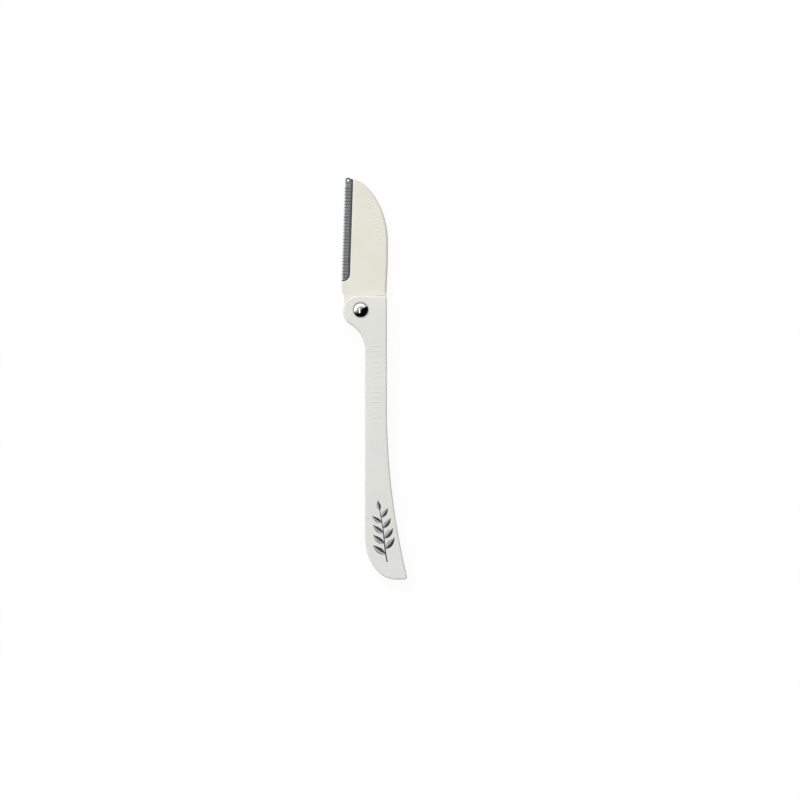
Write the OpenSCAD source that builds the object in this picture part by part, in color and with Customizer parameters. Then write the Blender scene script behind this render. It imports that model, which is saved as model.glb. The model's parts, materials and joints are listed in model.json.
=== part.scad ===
// Folding razor, open and lying on its back.
// A slotted handle carries a blade carrier that turns through half a circle about one two-piece rivet.
// Lengths are in millimetres. The outlines are drawn about the pivot, with the blade pointing along +Y,
// and the razor is then centred over the middle of its own box, with its back face at z = 0.

/* [Handle] */
// Distance from the pivot down to the end of the foot
handle_reach = 100.7; // [95:0.1:108]
// Thickness of each cheek beside the slot
cheek_t = 1.1; // [1:0.05:1.4]
// Distance from the pivot to the straight back edge
back_x = 9.8; // [9.6:0.1:11]
// Distance from the pivot to the straight belly edge
belly_x = 1.6; // [1:0.1:2]
// Distance below the pivot at which the back edge starts to bend
bend_start = 36; // [30:1:42]
// Radius of the bent back edge
bend_r = 272; // [255:1:300]
// Width of the foot's quarter ellipse
foot_w = 11.6; // [11:0.1:13]
// Height of the foot's quarter ellipse
foot_h = 16.2; // [15:0.1:21]
// Corner radius at the tip of the foot
tip_r = 1.1; // [1:0.05:1.4]
// Corner radius at the top of the back edge
crown_r = 0.9; // [0.8:0.05:1.2]
// Rounding of the handle's long edges
handle_edge_r = 0.6; // [0.4:0.05:0.7]

/* [Pivot lobe] */
// Radius of the round lobe that carries the rivet
lobe_r = 5.7; // [5.5:0.1:6.2]
// Distance of the lobe's centre to the left of the pivot
lobe_left = 0.9; // [0.5:0.1:1.1]
// Distance of the lobe's centre below the pivot
lobe_down = 0.6; // [0.4:0.1:0.8]
// Radius of the hollow neck below the lobe
neck_r = 11; // [10.5:0.1:15]

/* [Blade carrier] */
// Thickness of the carrier
carrier_t = 2; // [1.8:0.05:2.4]
// Radius of the round tang about the pivot
tang_r = 6.1; // [5.8:0.05:6.3]
// Distance from the pivot to the shoulder's outer corner
shoulder_x = 9.6; // [9.2:0.1:10.1]
// Distance from the pivot to the carrier's curved back
spine_x = 10.2; // [9.9:0.1:11]
// Height above the pivot at which the back reaches its full width
spine_low = 18.4; // [15:0.1:22]
// Height above the pivot at which the back starts to curve in
spine_high = 25; // [23:0.1:30]
// Height of the nose above the pivot
nose_y = 48.8; // [48.6:0.1:49.2]
// Distance from the pivot to the flat of the chin
chin_x = 7.1; // [7:0.05:7.5]
// Height above the pivot at which the flat of the chin starts
chin_low = 6.9; // [6.5:0.1:7.4]
// Height above the pivot at which the neck widens into the chin
neck_high = 5.4; // [5:0.1:5.8]
// Corner radius where the chin meets the blade
chin_r = 0.6; // [0.55:0.05:0.8]
// Corner radius at the shoulder
shoulder_r = 0.6; // [0.55:0.05:0.8]
// Rounding of the carrier's long edges
carrier_edge_r = 0.5; // [0.3:0.05:0.55]

/* [Blade] */
// Thickness of the blade steel
blade_t = 0.25; // [0.2:0.01:0.3]
// Width of the blade from its cutting edge to its back
blade_w = 6; // [5.6:0.1:6.6]
// Length of the blade
blade_l = 36.8; // [36.6:0.1:37]
// Width of the ground bevel
bevel_w = 0.9; // [0.6:0.05:1.2]
// Tilt of the cutting edge, in degrees
blade_tilt = 1.9; // [1:0.1:2.5]
// Distance of the cutting edge's lower end to the left of the pivot
edge_x = 7; // [6.9:0.05:7.2]
// Height of the cutting edge's lower end above the pivot
edge_y = 10.6; // [10.4:0.1:10.9]
// Diameter of the moulded pegs that hold the blade
peg_d = 1.4; // [1.1:0.1:1.6]
// Distance of the pegs' centres from the back of the blade
peg_back = 1.1; // [1:0.05:1.3]
// Number of pegs
peg_count = 3; // [2:1:4]

/* [Comb guard] */
// Thickness of the guard's steel sheet
sheet_t = 0.15; // [0.12:0.01:0.2]
// Width of the guard that shows beside the carrier
guard_w = 2.9; // [2.8:0.05:3.1]
// Distance that the folded nose stands proud of the cutting edge
nose_out = 0.3; // [0.28:0.01:0.4]
// Pitch of the comb slots
comb_pitch = 1.19; // [1.1:0.01:1.2]
// Width of one tooth between two slots
tooth_w = 0.4; // [0.3:0.05:0.5]
// Number of comb slots
comb_count = 29; // [20:1:29]
// Solid border below the first slot
comb_low = 0.5; // [0.4:0.05:0.7]
// Solid border beside the slots
border_w = 0.95; // [0.8:0.05:1.1]
// Radius of the guard's round end lug
lug_r = 1.05; // [0.95:0.05:1.2]
// Height of the lug's centre along the cutting edge
lug_v = 37.8; // [37.5:0.1:38]
// Height of the guard's shoulder above the lug's centre
band_rise = 0.6; // [0.5:0.05:0.65]
// Corner radius of the guard's shoulder
band_corner_r = 0.4; // [0.3:0.05:0.45]
// Diameter of the crimp that closes the lug
crimp_d = 0.9; // [0.7:0.05:1]
// Corner radius of the recess that holds the guard's lower end
recess_r = 2.65; // [2.4:0.05:2.75]

/* [Rivet] */
// Outer diameter of the socket tube that the carrier turns on
tube_d = 3; // [2.8:0.1:3.4]
// Diameter of the stud's pin
pin_d = 2; // [1.8:0.05:2.2]
// Diameter of the domed head
dome_d = 6; // [5.4:0.1:6.6]
// Height of the domed head with its rim
dome_h = 1.4; // [1.1:0.1:1.7]
// Height of the rim under the dome
rim_h = 0.25; // [0.2:0.05:0.4]
// Diameter of the socket's flange
flange_d = 5.6; // [5:0.1:6.2]
// Thickness of the socket's flange
flange_t = 0.45; // [0.4:0.05:0.55]

/* [Washers] */
// Outer diameter of the friction washers
washer_d = 9; // [8:0.1:9.6]
// Thickness of each friction washer
washer_t = 0.27; // [0.25:0.01:0.35]

/* [Grip ribs] */
// Length of the ribs on the handle
rib_l = 3.8; // [3:0.1:4.6]
// Number of ribs on the handle
rib_count = 15; // [8:1:15]
// Pitch of the ribs on the handle
rib_pitch = 1.9; // [1.7:0.1:2]
// Distance of the first rib below the pivot
rib_start = 13.6; // [12:0.1:15]
// Length of the ribs on the carrier
thumb_rib_l = 2.2; // [1.6:0.1:2.6]
// Number of ribs on the carrier
thumb_rib_count = 14; // [8:1:16]
// Distance of the carrier's ribs from its back edge
thumb_rib_in = 3.2; // [2.8:0.1:3.6]
// Radius of the ribs' round section
rib_r = 0.35; // [0.3:0.05:0.4]
// Height of the ribs above the surface
rib_h = 0.12; // [0.08:0.01:0.15]

/* [Foil sprig] */
// Thickness of the foil
foil_t = 0.06; // [0.05:0.01:0.1]
// Distance of the sprig's lower end above the end of the foot
sprig_low = 6.6; // [5.5:0.1:8]
// Height of the sprig's stem
sprig_h = 19.5; // [16:0.1:21]
// Width of the stem
stem_w = 0.45; // [0.35:0.05:0.6]
// Length of the longest leaf
leaf_l = 6.4; // [5.6:0.1:6.6]
// Number of leaf pairs
leaf_pairs = 4; // [3:1:5]

/* [Hidden] */
$fn = 64;

// Clearances
washer_gap = 0.03;
bore_gap = 0.05;
stop_gap = 0.15;
shoulder_gap = 0.06;
wall_gap = 0.25;
pocket_gap = 0.5;
pocket_end_gap = 1.4;
insert_gap = 0.02;
peg_gap = 0.05;
flange_gap = 0.05;
pin_end_gap = 0.15;
pin_press = 0.02;
overrun = 1;

// Steps of the curved outlines and of the rounded edges
edge_steps = 3;
lobe_steps = 20;
neck_steps = 10;
foot_steps = 16;
corner_steps = 4;
bend_steps = 10;
tang_steps = 24;
spine_steps = 22;
recess_steps = 8;
fold_steps = 8;
lug_steps = 12;
stem_steps = 12;
leaf_steps = 8;

// Levels through the thickness
slot_w = carrier_t + 2 * (washer_t + washer_gap);
handle_t = slot_w + 2 * cheek_t;
mid_z = handle_t / 2;
guard_t = blade_t + 2 * sheet_t;

// Places on the handle
lobe_c = [-lobe_left, -lobe_down];
top_y = lobe_r - lobe_down;
foot_y = -handle_reach;
neck_rise = sqrt(pow(neck_r + lobe_r, 2) - pow(neck_r - belly_x - lobe_left, 2));
neck_c = [belly_x - neck_r, lobe_c.y - neck_rise];
neck_a = way(lobe_c - neck_c);
foot_c = [belly_x + foot_w, foot_y + foot_h];
bend_c = [back_x + bend_r, -bend_start];
tip_run = sqrt(pow(bend_r + tip_r, 2) - pow(foot_y + tip_r - bend_c.y, 2));
tip_c = [bend_c.x - tip_run, foot_y + tip_r];
tip_a = way(bend_c - tip_c);
bore_r = tube_d / 2 + bore_gap;

// Places on the blade carrier
shoulder_y = top_y + shoulder_gap;
nose_v = (nose_y - edge_y + guard_w * sin(blade_tilt)) / cos(blade_tilt);
nose_p = in_blade(guard_w, nose_v);
recess_c = in_blade(guard_w - recess_r, recess_r);
chin_drop = sqrt(pow(recess_r + chin_r, 2) - pow(recess_c.x + chin_x - chin_r, 2));
chin_c = [chin_r - chin_x, recess_c.y - chin_drop];
chin_a = way(chin_c - recess_c);
spine_pull_share = 0.62;
nose_pull_share = 0.32;
thumb_from_share = 0;
thumb_to_share = 0.5;

// Walls of the slot, where the folded carrier lies turned half a circle
slot_tang_x = tang_r + wall_gap;
slot_land_x = chin_x + stop_gap;
slot_pocket_x = edge_x + nose_out + pocket_gap;
slot_land_top = pocket_gap - neck_high;
slot_land_low = -chin_c.y;
slot_end_y = -norm(in_blade(lug_r, lug_v)) - lug_r - pocket_end_gap;

// Places across and along the cutting edge
blade_clip = 2.4;
peg_u = blade_w - peg_back;
leg_end = peg_u - peg_d / 2 - peg_gap;
leg_top = lug_v - lug_r;
band_u = guard_w - insert_gap;
comb_short = 1;
window_low = comb_low + comb_count * comb_pitch;
crimp_out = 0.08;
peg_low = 5;
peg_top_in = 6;
peg_step = (blade_l - peg_top_in - peg_low) / (peg_count - 1);

// Places of the sprig
leaf_w = 2.3;
leaf_spread = 46;
sprig_bow = 0.8;
leaf_taper_share = 0.35;
leaf_stagger_share = 0.25;
way_step_share = 0.01;

// Middle of the box that holds the open razor
foot_right = tip_c.x + tip_r;
head_left = max(-in_blade(-nose_out, 0).x, chin_x, lobe_left + lobe_r);
head_top = max(in_blade(lug_r, lug_v).y + lug_r, nose_y);
box_mid = [(foot_right - head_left) / 2, (head_top - handle_reach) / 2];

// Direction of a vector as an angle, its unit vector, and its left-hand normal
function way(v) = atan2(v.y, v.x);
function unit(v) = v / norm(v);
function left_of(v) = [-v.y, v.x];

// All points of a list but the first
function tail(p) = [for (i = [1:len(p) - 1]) p[i]];

// Point at u across the blade from its cutting edge and v along that edge
function in_blade(u, v) = [
    u * cos(blade_tilt) + v * sin(blade_tilt) - edge_x,
    v * cos(blade_tilt) - u * sin(blade_tilt) + edge_y
];

// Points of an ellipse's arc about c, from angle a to angle b, and of a circle's
function ellipse(c, rx, ry, a, b, steps) =
    [for (i = [0:steps]) let (t = a + (b - a) * i / steps) c + [rx * cos(t), ry * sin(t)]];
function arc(c, r, a, b, steps) = ellipse(c, r, r, a, b, steps);

// Point and direction of a cubic curve at a share t of its run
function cubic(p, t) =
    pow(1 - t, 3) * p[0] + 3 * pow(1 - t, 2) * t * p[1] + 3 * (1 - t) * pow(t, 2) * p[2] + pow(t, 3) * p[3];
function cubic_way(p, t) =
    way(pow(1 - t, 2) * (p[1] - p[0]) + 2 * (1 - t) * t * (p[2] - p[1]) + pow(t, 2) * (p[3] - p[2]));

// Outline moved inwards by d. Outlines run counter-clockwise, so inwards is to the left of each side.
function inset(p, d) = [for (i = [0:len(p) - 1])
    let (
        before = left_of(unit(p[i] - p[(i + len(p) - 1) % len(p)])),
        after = left_of(unit(p[(i + 1) % len(p)] - p[i]))
    )
    p[i] + d * (before + after) / (1 + before * after)];

// Whether p lies in the counter-clockwise triangle a, b, c
function covers(a, b, c, p) =
    cross(b - a, p - a) >= 0 && cross(c - b, p - b) >= 0 && cross(a - c, p - c) >= 0;

// Whether corner i of the outline p, of which the points ids are left, can be cut off as a triangle
function is_ear(p, ids, i) =
    let (n = len(ids), a = p[ids[(i + n - 1) % n]], b = p[ids[i]], c = p[ids[(i + 1) % n]])
    cross(b - a, c - b) > 0
    && len([for (k = [2:n - 2]) if (covers(a, b, c, p[ids[(i + k) % n]])) k]) == 0;

// Triangles that fill the outline p, cut off one corner at a time
function ears(p, ids, i = 0) =
    let (n = len(ids), k = i % n)
    n == 3 ? [ids]
    : is_ear(p, ids, k)
        ? concat(
            [[ids[(k + n - 1) % n], ids[k], ids[(k + 1) % n]]],
            ears(p, [for (j = [0:n - 1]) if (j != k) ids[j]], k + 1))
        : ears(p, ids, k + 1);

// Back edge, belly edge and middle of the handle at height y
function back_at(y) = y > bend_c.y ? back_x : bend_c.x - sqrt(pow(bend_r, 2) - pow(y - bend_c.y, 2));
function belly_at(y) = y > foot_c.y ? belly_x : foot_c.x - foot_w * sqrt(1 - pow((y - foot_c.y) / foot_h, 2));
function middle_at(y) = (back_at(y) + belly_at(y)) / 2;

// Point of the sprig's stem at a share t of its height, and the stem's direction there
function stem_y(t) = foot_y + sprig_low + sprig_h * t;
function stem_at(t) = [middle_at(stem_y(t)) + sprig_bow * sin(180 * t), stem_y(t)];
function stem_way(t) = way(stem_at(t + way_step_share) - stem_at(t - way_step_share));

// Far end of a comb slot at v along the edge: it stays a border's width away from the recess's round corner
function slot_reach(v) = v > recess_r
    ? guard_w - border_w
    : max(comb_short,
        guard_w - recess_r + sqrt(max(0, pow(recess_r - border_w, 2) - pow(recess_r - v, 2))));

handle_outline = concat(
    arc([back_x - crown_r, top_y - crown_r], crown_r, 0, 90, corner_steps),
    arc(lobe_c, lobe_r, 90, 180 + neck_a, lobe_steps),
    tail(arc(neck_c, neck_r, neck_a, 0, neck_steps)),
    ellipse(foot_c, foot_w, foot_h, 180, 270, foot_steps),
    arc(tip_c, tip_r, 270, 360 + tip_a, corner_steps),
    tail(arc(bend_c, bend_r, 180 + tip_a, 180, bend_steps))
);

slot_outline = [
    [-spine_x - overrun, slot_end_y],
    [slot_pocket_x, slot_end_y],
    [slot_pocket_x, slot_land_low],
    [slot_land_x, slot_land_low],
    [slot_land_x, slot_land_top],
    [slot_tang_x, slot_land_top],
    [slot_tang_x, top_y + overrun],
    [-spine_x - overrun, top_y + overrun]
];

spine_curve = [
    [spine_x, spine_high],
    [spine_x, spine_high + spine_pull_share * (nose_y - spine_high)],
    [nose_p.x + nose_pull_share * (spine_x - nose_p.x), nose_y],
    nose_p
];

carrier_outline = concat(
    [[tang_r, shoulder_y]],
    arc([shoulder_x - shoulder_r, shoulder_y + shoulder_r], shoulder_r, 270, 360, corner_steps),
    [[spine_x, spine_low]],
    [for (i = [0:spine_steps]) cubic(spine_curve, i / spine_steps)],
    arc(recess_c, recess_r, -blade_tilt, chin_a, recess_steps),
    tail(arc(chin_c, chin_r, 180 + chin_a, 180, corner_steps)),
    [[-chin_x, chin_low], [-tang_r, neck_high]],
    arc([0, 0], tang_r, 180, 360, tang_steps)
);

// Outline of the blade, in u and v
blade_outline = [
    [0, insert_gap],
    [blade_w, insert_gap],
    [blade_w, blade_l - blade_clip],
    [blade_w - blade_clip, blade_l],
    [0, blade_l]
];

// Outline of the guard, in u and v: strip, hidden leg, round-cornered shoulder and round end lug
guard_outline = concat(
    [
        [-nose_out, 0],
        [leg_end, 0],
        [leg_end, leg_top],
        [band_u, leg_top]
    ],
    arc([band_u - band_corner_r, lug_v + band_rise - band_corner_r], band_corner_r, 0, 90, corner_steps),
    arc([lug_r, lug_v], lug_r, asin(band_rise / lug_r), 180, lug_steps),
    [[-nose_out, leg_top]]
);

// Section of the folded sheet, in u and z
nose_u = guard_t / 2 - nose_out;
guard_section = concat(
    [[leg_end, guard_t / 2]],
    arc([nose_u, 0], guard_t / 2, 90, 270, fold_steps),
    [[leg_end, -guard_t / 2], [leg_end, -blade_t / 2]],
    arc([nose_u, 0], blade_t / 2, 270, 90, fold_steps),
    [[leg_end, blade_t / 2]]
);

// Section of the ground blade, in u and z
blade_section = [
    [0, 0],
    [bevel_w, -blade_t / 2],
    [blade_w, -blade_t / 2],
    [blade_w, blade_t / 2],
    [bevel_w, blade_t / 2]
];

// Puts a piece drawn about the pivot into the razor's own frame
module place() {
    translate([-box_mid.x, -box_mid.y, 0]) children();
}

// Puts a piece drawn along the cutting edge, about the middle of the thickness, onto the carrier
module on_edge() {
    place() translate([-edge_x, edge_y, mid_z]) rotate(-blade_tilt) children();
}

// Plate of thickness t whose long edges are rounded with radius r
module rounded_plate(outline, t, r) {
    count = len(outline);
    turns = [for (i = [0:edge_steps]) 90 * i / edge_steps];
    low = [for (a = turns) [r - r * sin(a), r - r * cos(a)]];
    rings = concat(low, [for (i = [0:edge_steps]) [low[edge_steps - i][0], t - low[edge_steps - i][1]]]);
    points = [for (ring = rings) for (p = inset(outline, ring[0])) [p.x, p.y, ring[1]]];
    sides = [for (k = [0:len(rings) - 2]) for (i = [0:count - 1])
        let (j = (i + 1) % count, here = k * count, above = here + count)
        each [[here + i, above + i, above + j], [here + i, above + j, here + j]]];
    bottom = ears(inset(outline, r), [for (i = [0:count - 1]) i]);
    top = [for (face = bottom) [for (i = [2, 1, 0]) len(points) - count + face[i]]];
    polyhedron(points, concat(bottom, top, sides));
}

// Plate about z = 0 with the given outline
module flat_plate(t) {
    translate([0, 0, -t / 2]) linear_extrude(t) children();
}

// Bar with the given section that runs along the cutting edge for a length l
module bar_along_edge(section, l) {
    translate([0, l, 0]) rotate([90, 0, 0]) linear_extrude(l) polygon(section);
}

// Low round rib of length l, centred at p on a surface at height z and turned to angle a
module rib(p, z, a, l) {
    translate([p.x, p.y, z - rib_r + rib_h]) rotate([0, 90, a]) cylinder(r = rib_r, h = l, center = true);
}

module handle_ribs() {
    for (i = [0:rib_count - 1])
        rib([(back_x + belly_x) / 2, -rib_start - i * rib_pitch], handle_t, 0, rib_l);
}

module carrier_ribs() {
    for (i = [0:thumb_rib_count - 1]) {
        t = thumb_from_share + (thumb_to_share - thumb_from_share) * i / (thumb_rib_count - 1);
        a = cubic_way(spine_curve, t) - 90;
        rib(cubic(spine_curve, t) - thumb_rib_in * [cos(a), sin(a)], carrier_t, a, thumb_rib_l);
    }
}

module handle() {
    color("whitesmoke") place() difference() {
        union() {
            rounded_plate(handle_outline, handle_t, handle_edge_r);
            handle_ribs();
        }
        translate([0, 0, cheek_t]) linear_extrude(slot_w) polygon(slot_outline);
        translate([0, 0, -overrun]) cylinder(r = bore_r, h = handle_t + 2 * overrun);
        translate([0, 0, -overrun])
            cylinder(d = flange_d + 2 * flange_gap, h = flange_t + flange_gap + overrun);
    }
}

// The pegs that hold the blade, grown by a gap where they are cut out of it
module pegs(gap) {
    for (i = [0:peg_count - 1])
        translate([peg_u, peg_low + i * peg_step, 0])
            cylinder(d = peg_d + 2 * gap, h = guard_t, center = true);
}

// The slit that the blade and the guard's legs are moulded into
module slit() {
    flat_plate(blade_t + 2 * insert_gap) polygon(inset(blade_outline, -insert_gap));
    flat_plate(guard_t + 2 * insert_gap)
        translate([-nose_out - overrun, -insert_gap])
            square([leg_end + nose_out + overrun + insert_gap, leg_top + 2 * insert_gap]);
}

module blade_carrier() {
    color("ivory") difference() {
        place() translate([0, 0, mid_z - carrier_t / 2]) union() {
            rounded_plate(carrier_outline, carrier_t, carrier_edge_r);
            carrier_ribs();
        }
        on_edge() difference() {
            slit();
            pegs(0);
        }
        place() cylinder(r = bore_r, h = handle_t);
    }
}

module blade() {
    color("lightsteelblue") on_edge() difference() {
        intersection() {
            bar_along_edge(blade_section, blade_l);
            flat_plate(guard_t) polygon(blade_outline);
        }
        pegs(peg_gap);
    }
}

// The comb's open slots and the window above them, in u and v
module comb_slots() {
    for (i = [0:comb_count - 1]) {
        v = comb_low + i * comb_pitch;
        reach = slot_reach(v + (comb_pitch - tooth_w) / 2);
        translate([-nose_out - overrun, v]) square([reach + nose_out + overrun, comb_pitch - tooth_w]);
    }
    translate([-nose_out - overrun, window_low])
        square([guard_w - border_w + nose_out + overrun, leg_top - window_low]);
}

module comb_guard() {
    color("dimgray") on_edge() union() {
        intersection() {
            bar_along_edge(guard_section, lug_v + lug_r);
            flat_plate(2 * guard_t) difference() {
                polygon(guard_outline);
                comb_slots();
            }
        }
        translate([lug_r, lug_v, 0]) cylinder(d = crimp_d, h = guard_t + 2 * crimp_out, center = true);
    }
}

module rivet_stud() {
    cap_h = dome_h - rim_h;
    cap_r = (pow(dome_d / 2, 2) + pow(cap_h, 2)) / (2 * cap_h);
    pin_l = handle_t - flange_t - flange_gap - pin_end_gap;
    color("silver") place() translate([0, 0, handle_t]) rotate_extrude() union() {
        intersection() {
            translate([0, dome_h - cap_r]) circle(cap_r);
            square([dome_d / 2, dome_h]);
        }
        translate([0, -pin_l]) square([pin_d / 2, pin_l + rim_h]);
    }
}

module rivet_socket() {
    color("gainsboro") place() difference() {
        translate([0, 0, flange_gap]) union() {
            cylinder(d = flange_d, h = flange_t);
            cylinder(d = tube_d, h = handle_t - 2 * flange_gap);
        }
        translate([0, 0, flange_t + flange_gap]) cylinder(d = pin_d - 2 * pin_press, h = handle_t);
    }
}

module washer() {
    difference() {
        cylinder(d = washer_d, h = washer_t);
        translate([0, 0, -overrun]) cylinder(r = bore_r, h = washer_t + 2 * overrun);
    }
}

module front_washer() {
    color("white") place() translate([0, 0, handle_t - cheek_t - washer_t]) washer();
}

module rear_washer() {
    color("white") place() translate([0, 0, cheek_t]) washer();
}

// Pointed leaf that starts at p and runs to angle a for a length l
module leaf(p, a, l) {
    half_w = leaf_w / 2 * l / leaf_l;
    side = [for (i = [0:leaf_steps]) [l * i / leaf_steps, half_w * sin(180 * i / leaf_steps)]];
    back = [for (i = [1:leaf_steps - 1]) let (q = side[leaf_steps - i]) [q.x, -q.y]];
    translate(p) rotate(a) polygon(concat(side, back));
}

module stem() {
    shares = [for (i = [0:stem_steps]) i / stem_steps];
    left = [for (t = shares) stem_at(t) + stem_w / 2 * [cos(stem_way(t) + 90), sin(stem_way(t) + 90)]];
    right = [for (i = [0:stem_steps]) let (t = 1 - shares[i])
        stem_at(t) - stem_w / 2 * [cos(stem_way(t) + 90), sin(stem_way(t) + 90)]];
    polygon(concat(left, right));
}

module foil_sprig() {
    color("darkgray") place() translate([0, 0, handle_t]) linear_extrude(foil_t) union() {
        stem();
        for (i = [1:leaf_pairs], side = [-1, 1]) {
            t = (i - side * leaf_stagger_share) / (leaf_pairs + 1);
            leaf(stem_at(t), stem_way(t) + side * leaf_spread, leaf_l * (1 - leaf_taper_share * t));
        }
        leaf(stem_at(1 - stem_w / sprig_h), stem_way(1), leaf_l * (1 - leaf_taper_share));
    }
}

handle();
blade_carrier();
blade();
comb_guard();
rivet_stud();
rivet_socket();
front_washer();
rear_washer();
foil_sprig();
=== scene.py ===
"""Looks of the folding razor: a slotted handle, a comb-guarded blade on its carrier, and a domed rivet.

Shapes are drawn in millimetres about the rivet's axis, with the blade pointing along +Y and the handle's back
face at z = 0. Placement takes them into the frame, which is in metres.
"""

import json
import logging
import math
from dataclasses import dataclass
from enum import Enum

import bmesh
import bpy
import numpy as np
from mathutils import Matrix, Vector
from numpy.typing import NDArray

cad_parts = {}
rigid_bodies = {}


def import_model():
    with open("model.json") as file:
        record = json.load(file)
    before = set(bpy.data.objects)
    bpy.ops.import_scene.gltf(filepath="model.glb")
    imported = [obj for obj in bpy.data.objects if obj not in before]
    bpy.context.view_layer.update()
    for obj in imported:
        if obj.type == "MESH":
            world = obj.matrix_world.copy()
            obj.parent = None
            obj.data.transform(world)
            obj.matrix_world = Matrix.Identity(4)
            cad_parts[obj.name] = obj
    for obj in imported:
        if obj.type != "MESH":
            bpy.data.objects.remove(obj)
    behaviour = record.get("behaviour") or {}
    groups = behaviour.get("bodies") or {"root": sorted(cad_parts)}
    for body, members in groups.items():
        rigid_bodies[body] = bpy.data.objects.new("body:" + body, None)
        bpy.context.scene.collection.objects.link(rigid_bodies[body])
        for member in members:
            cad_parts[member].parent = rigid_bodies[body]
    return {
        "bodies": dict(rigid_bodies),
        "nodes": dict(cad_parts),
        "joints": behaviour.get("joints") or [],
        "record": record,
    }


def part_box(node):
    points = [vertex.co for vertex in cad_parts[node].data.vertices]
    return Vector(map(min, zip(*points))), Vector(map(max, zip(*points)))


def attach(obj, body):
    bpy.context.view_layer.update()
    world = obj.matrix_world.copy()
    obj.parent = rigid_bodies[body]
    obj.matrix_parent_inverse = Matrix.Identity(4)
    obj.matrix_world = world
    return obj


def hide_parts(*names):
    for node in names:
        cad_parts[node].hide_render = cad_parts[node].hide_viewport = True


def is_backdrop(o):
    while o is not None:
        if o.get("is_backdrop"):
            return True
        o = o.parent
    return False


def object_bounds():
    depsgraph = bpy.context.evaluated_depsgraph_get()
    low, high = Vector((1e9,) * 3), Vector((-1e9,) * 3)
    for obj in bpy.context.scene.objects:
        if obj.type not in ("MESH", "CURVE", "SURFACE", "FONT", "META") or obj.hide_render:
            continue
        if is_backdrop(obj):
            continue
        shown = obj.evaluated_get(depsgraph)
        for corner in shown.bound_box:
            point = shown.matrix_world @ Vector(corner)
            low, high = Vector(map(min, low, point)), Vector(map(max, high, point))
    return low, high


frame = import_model()

Points = NDArray[np.float64]
Faces = list[list[int]]
Colour = tuple[float, float, float]
Socket = bpy.types.NodeSocket

# Metres in a millimetre.
MM = 0.001
# Distance in millimetres within which two points are one.
MERGED = 0.0002
# Reach of a cutter past what it cuts, in millimetres.
OVERRUN = 1.0
# Angle in degrees between two faces, from which a piece's edge is broken.
BROKEN_ANGLE = 55.0
# Scales that drop a point's height.
FLAT = (1.0, 1.0, 0.0)
# Share of a curve's run on each side of a point, over which its direction is taken.
SLOPE_STEP = 0.01
WHITE = (1.0, 1.0, 1.0, 1.0)

log = logging.getLogger("razor")


def turn(vectors: Points) -> Points:
    """Gives the directions of vectors as angles in degrees, counter-clockwise from +X."""
    return np.degrees(np.arctan2(vectors[..., 1], vectors[..., 0]))


def arc(centre: Points, radii: tuple[float, float] | float, start: float, stop: float, steps: int) -> Points:
    """Points of an arc: centre plus the radii times the cosine and sine of evenly stepped angles.

    Args:
        centre: Centre of the circle or ellipse.
        radii: One radius, or the two half axes of an ellipse.
        start: First angle in degrees.
        stop: Last angle in degrees.
        steps: Number of steps between them.

    Returns:
        The steps + 1 points.
    """
    angles = np.radians(np.linspace(start, stop, steps + 1))
    return np.asarray(centre) + np.stack([np.cos(angles), np.sin(angles)], axis=-1) * radii


def cubic(controls: Points, shares: Points) -> Points:
    """Points of a cubic curve, as the Bernstein sum of its four control points.

    Args:
        controls: Four control points.
        shares: Shares of the curve's run, from 0 to 1.

    Returns:
        One point for each share.
    """
    t = np.asarray(shares)[:, None]
    weights = np.concatenate([(1 - t) ** 3, 3 * (1 - t) ** 2 * t, 3 * (1 - t) * t ** 2, t ** 3], axis=1)
    return weights @ controls


def runs(path: Points) -> Points:
    """Gives the length of a path from its start to each of its points."""
    return np.concatenate([[0.0], np.cumsum(np.linalg.norm(np.diff(path, axis=0), axis=1))])


def stations(path: Points, lengths: Points) -> Points:
    """Gives the points at lengths along a path, linearly interpolated."""
    run = runs(path)
    return np.stack([np.interp(lengths, run, path[:, axis]) for axis in range(path.shape[1])], axis=-1)


def resample(path: Points, spacing: float) -> Points:
    """Evenly spaced points along an open path, with both of its ends kept.

    Args:
        path: Points of the path.
        spacing: Largest distance between two points.

    Returns:
        Points at equal steps of the path's length.
    """
    length = runs(path)[-1]
    steps = max(1, math.ceil(length / spacing))
    return stations(path, np.linspace(0.0, length, steps + 1))


def trimmed(path: Points, start: float, stop: float) -> Points:
    """Cuts a length off each end of an open path.

    Args:
        path: Points of the path.
        start: Length that is cut off where it starts.
        stop: Length that is cut off where it ends.

    Returns:
        The points between the two cuts, with the cuts themselves.
    """
    run = runs(path)
    cuts = np.array([start, run[-1] - stop])
    ends = stations(path, cuts)
    return np.vstack([ends[:1], path[(run > cuts[0]) & (run < cuts[1])], ends[1:]])


def blended(
    stretches: list[Points], reaches: tuple[float, ...], pull: float = 0.55, steps: int = 13,
) -> Points:
    """Joins stretches into a closed outline with rounded corners.

    A corner is a cubic curve between the cut ends of its two stretches, with handles to the sharp corner.

    Args:
        stretches: Open paths, each of which starts where the one before it ends.
        reaches: For the end of each stretch, how far from the sharp corner its rounding starts.
        pull: Length of the handles, as a share of the way to the sharp corner.
        steps: Steps of each corner.

    Returns:
        The points of the outline.
    """
    cut = [trimmed(path, reaches[i - 1], reaches[i]) for i, path in enumerate(stretches)]
    outline = []
    for path, sharp, after in zip(cut, stretches, cut[1:] + cut[:1]):
        ends, corner = np.array([path[-1], after[0]]), sharp[-1]
        inner = ends + pull * (corner - ends)
        controls = np.array([ends[0], inner[0], inner[1], ends[1]])
        outline += [path, cubic(controls, np.linspace(0, 1, steps + 1)[1:-1])]
    return np.vstack(outline)


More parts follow.
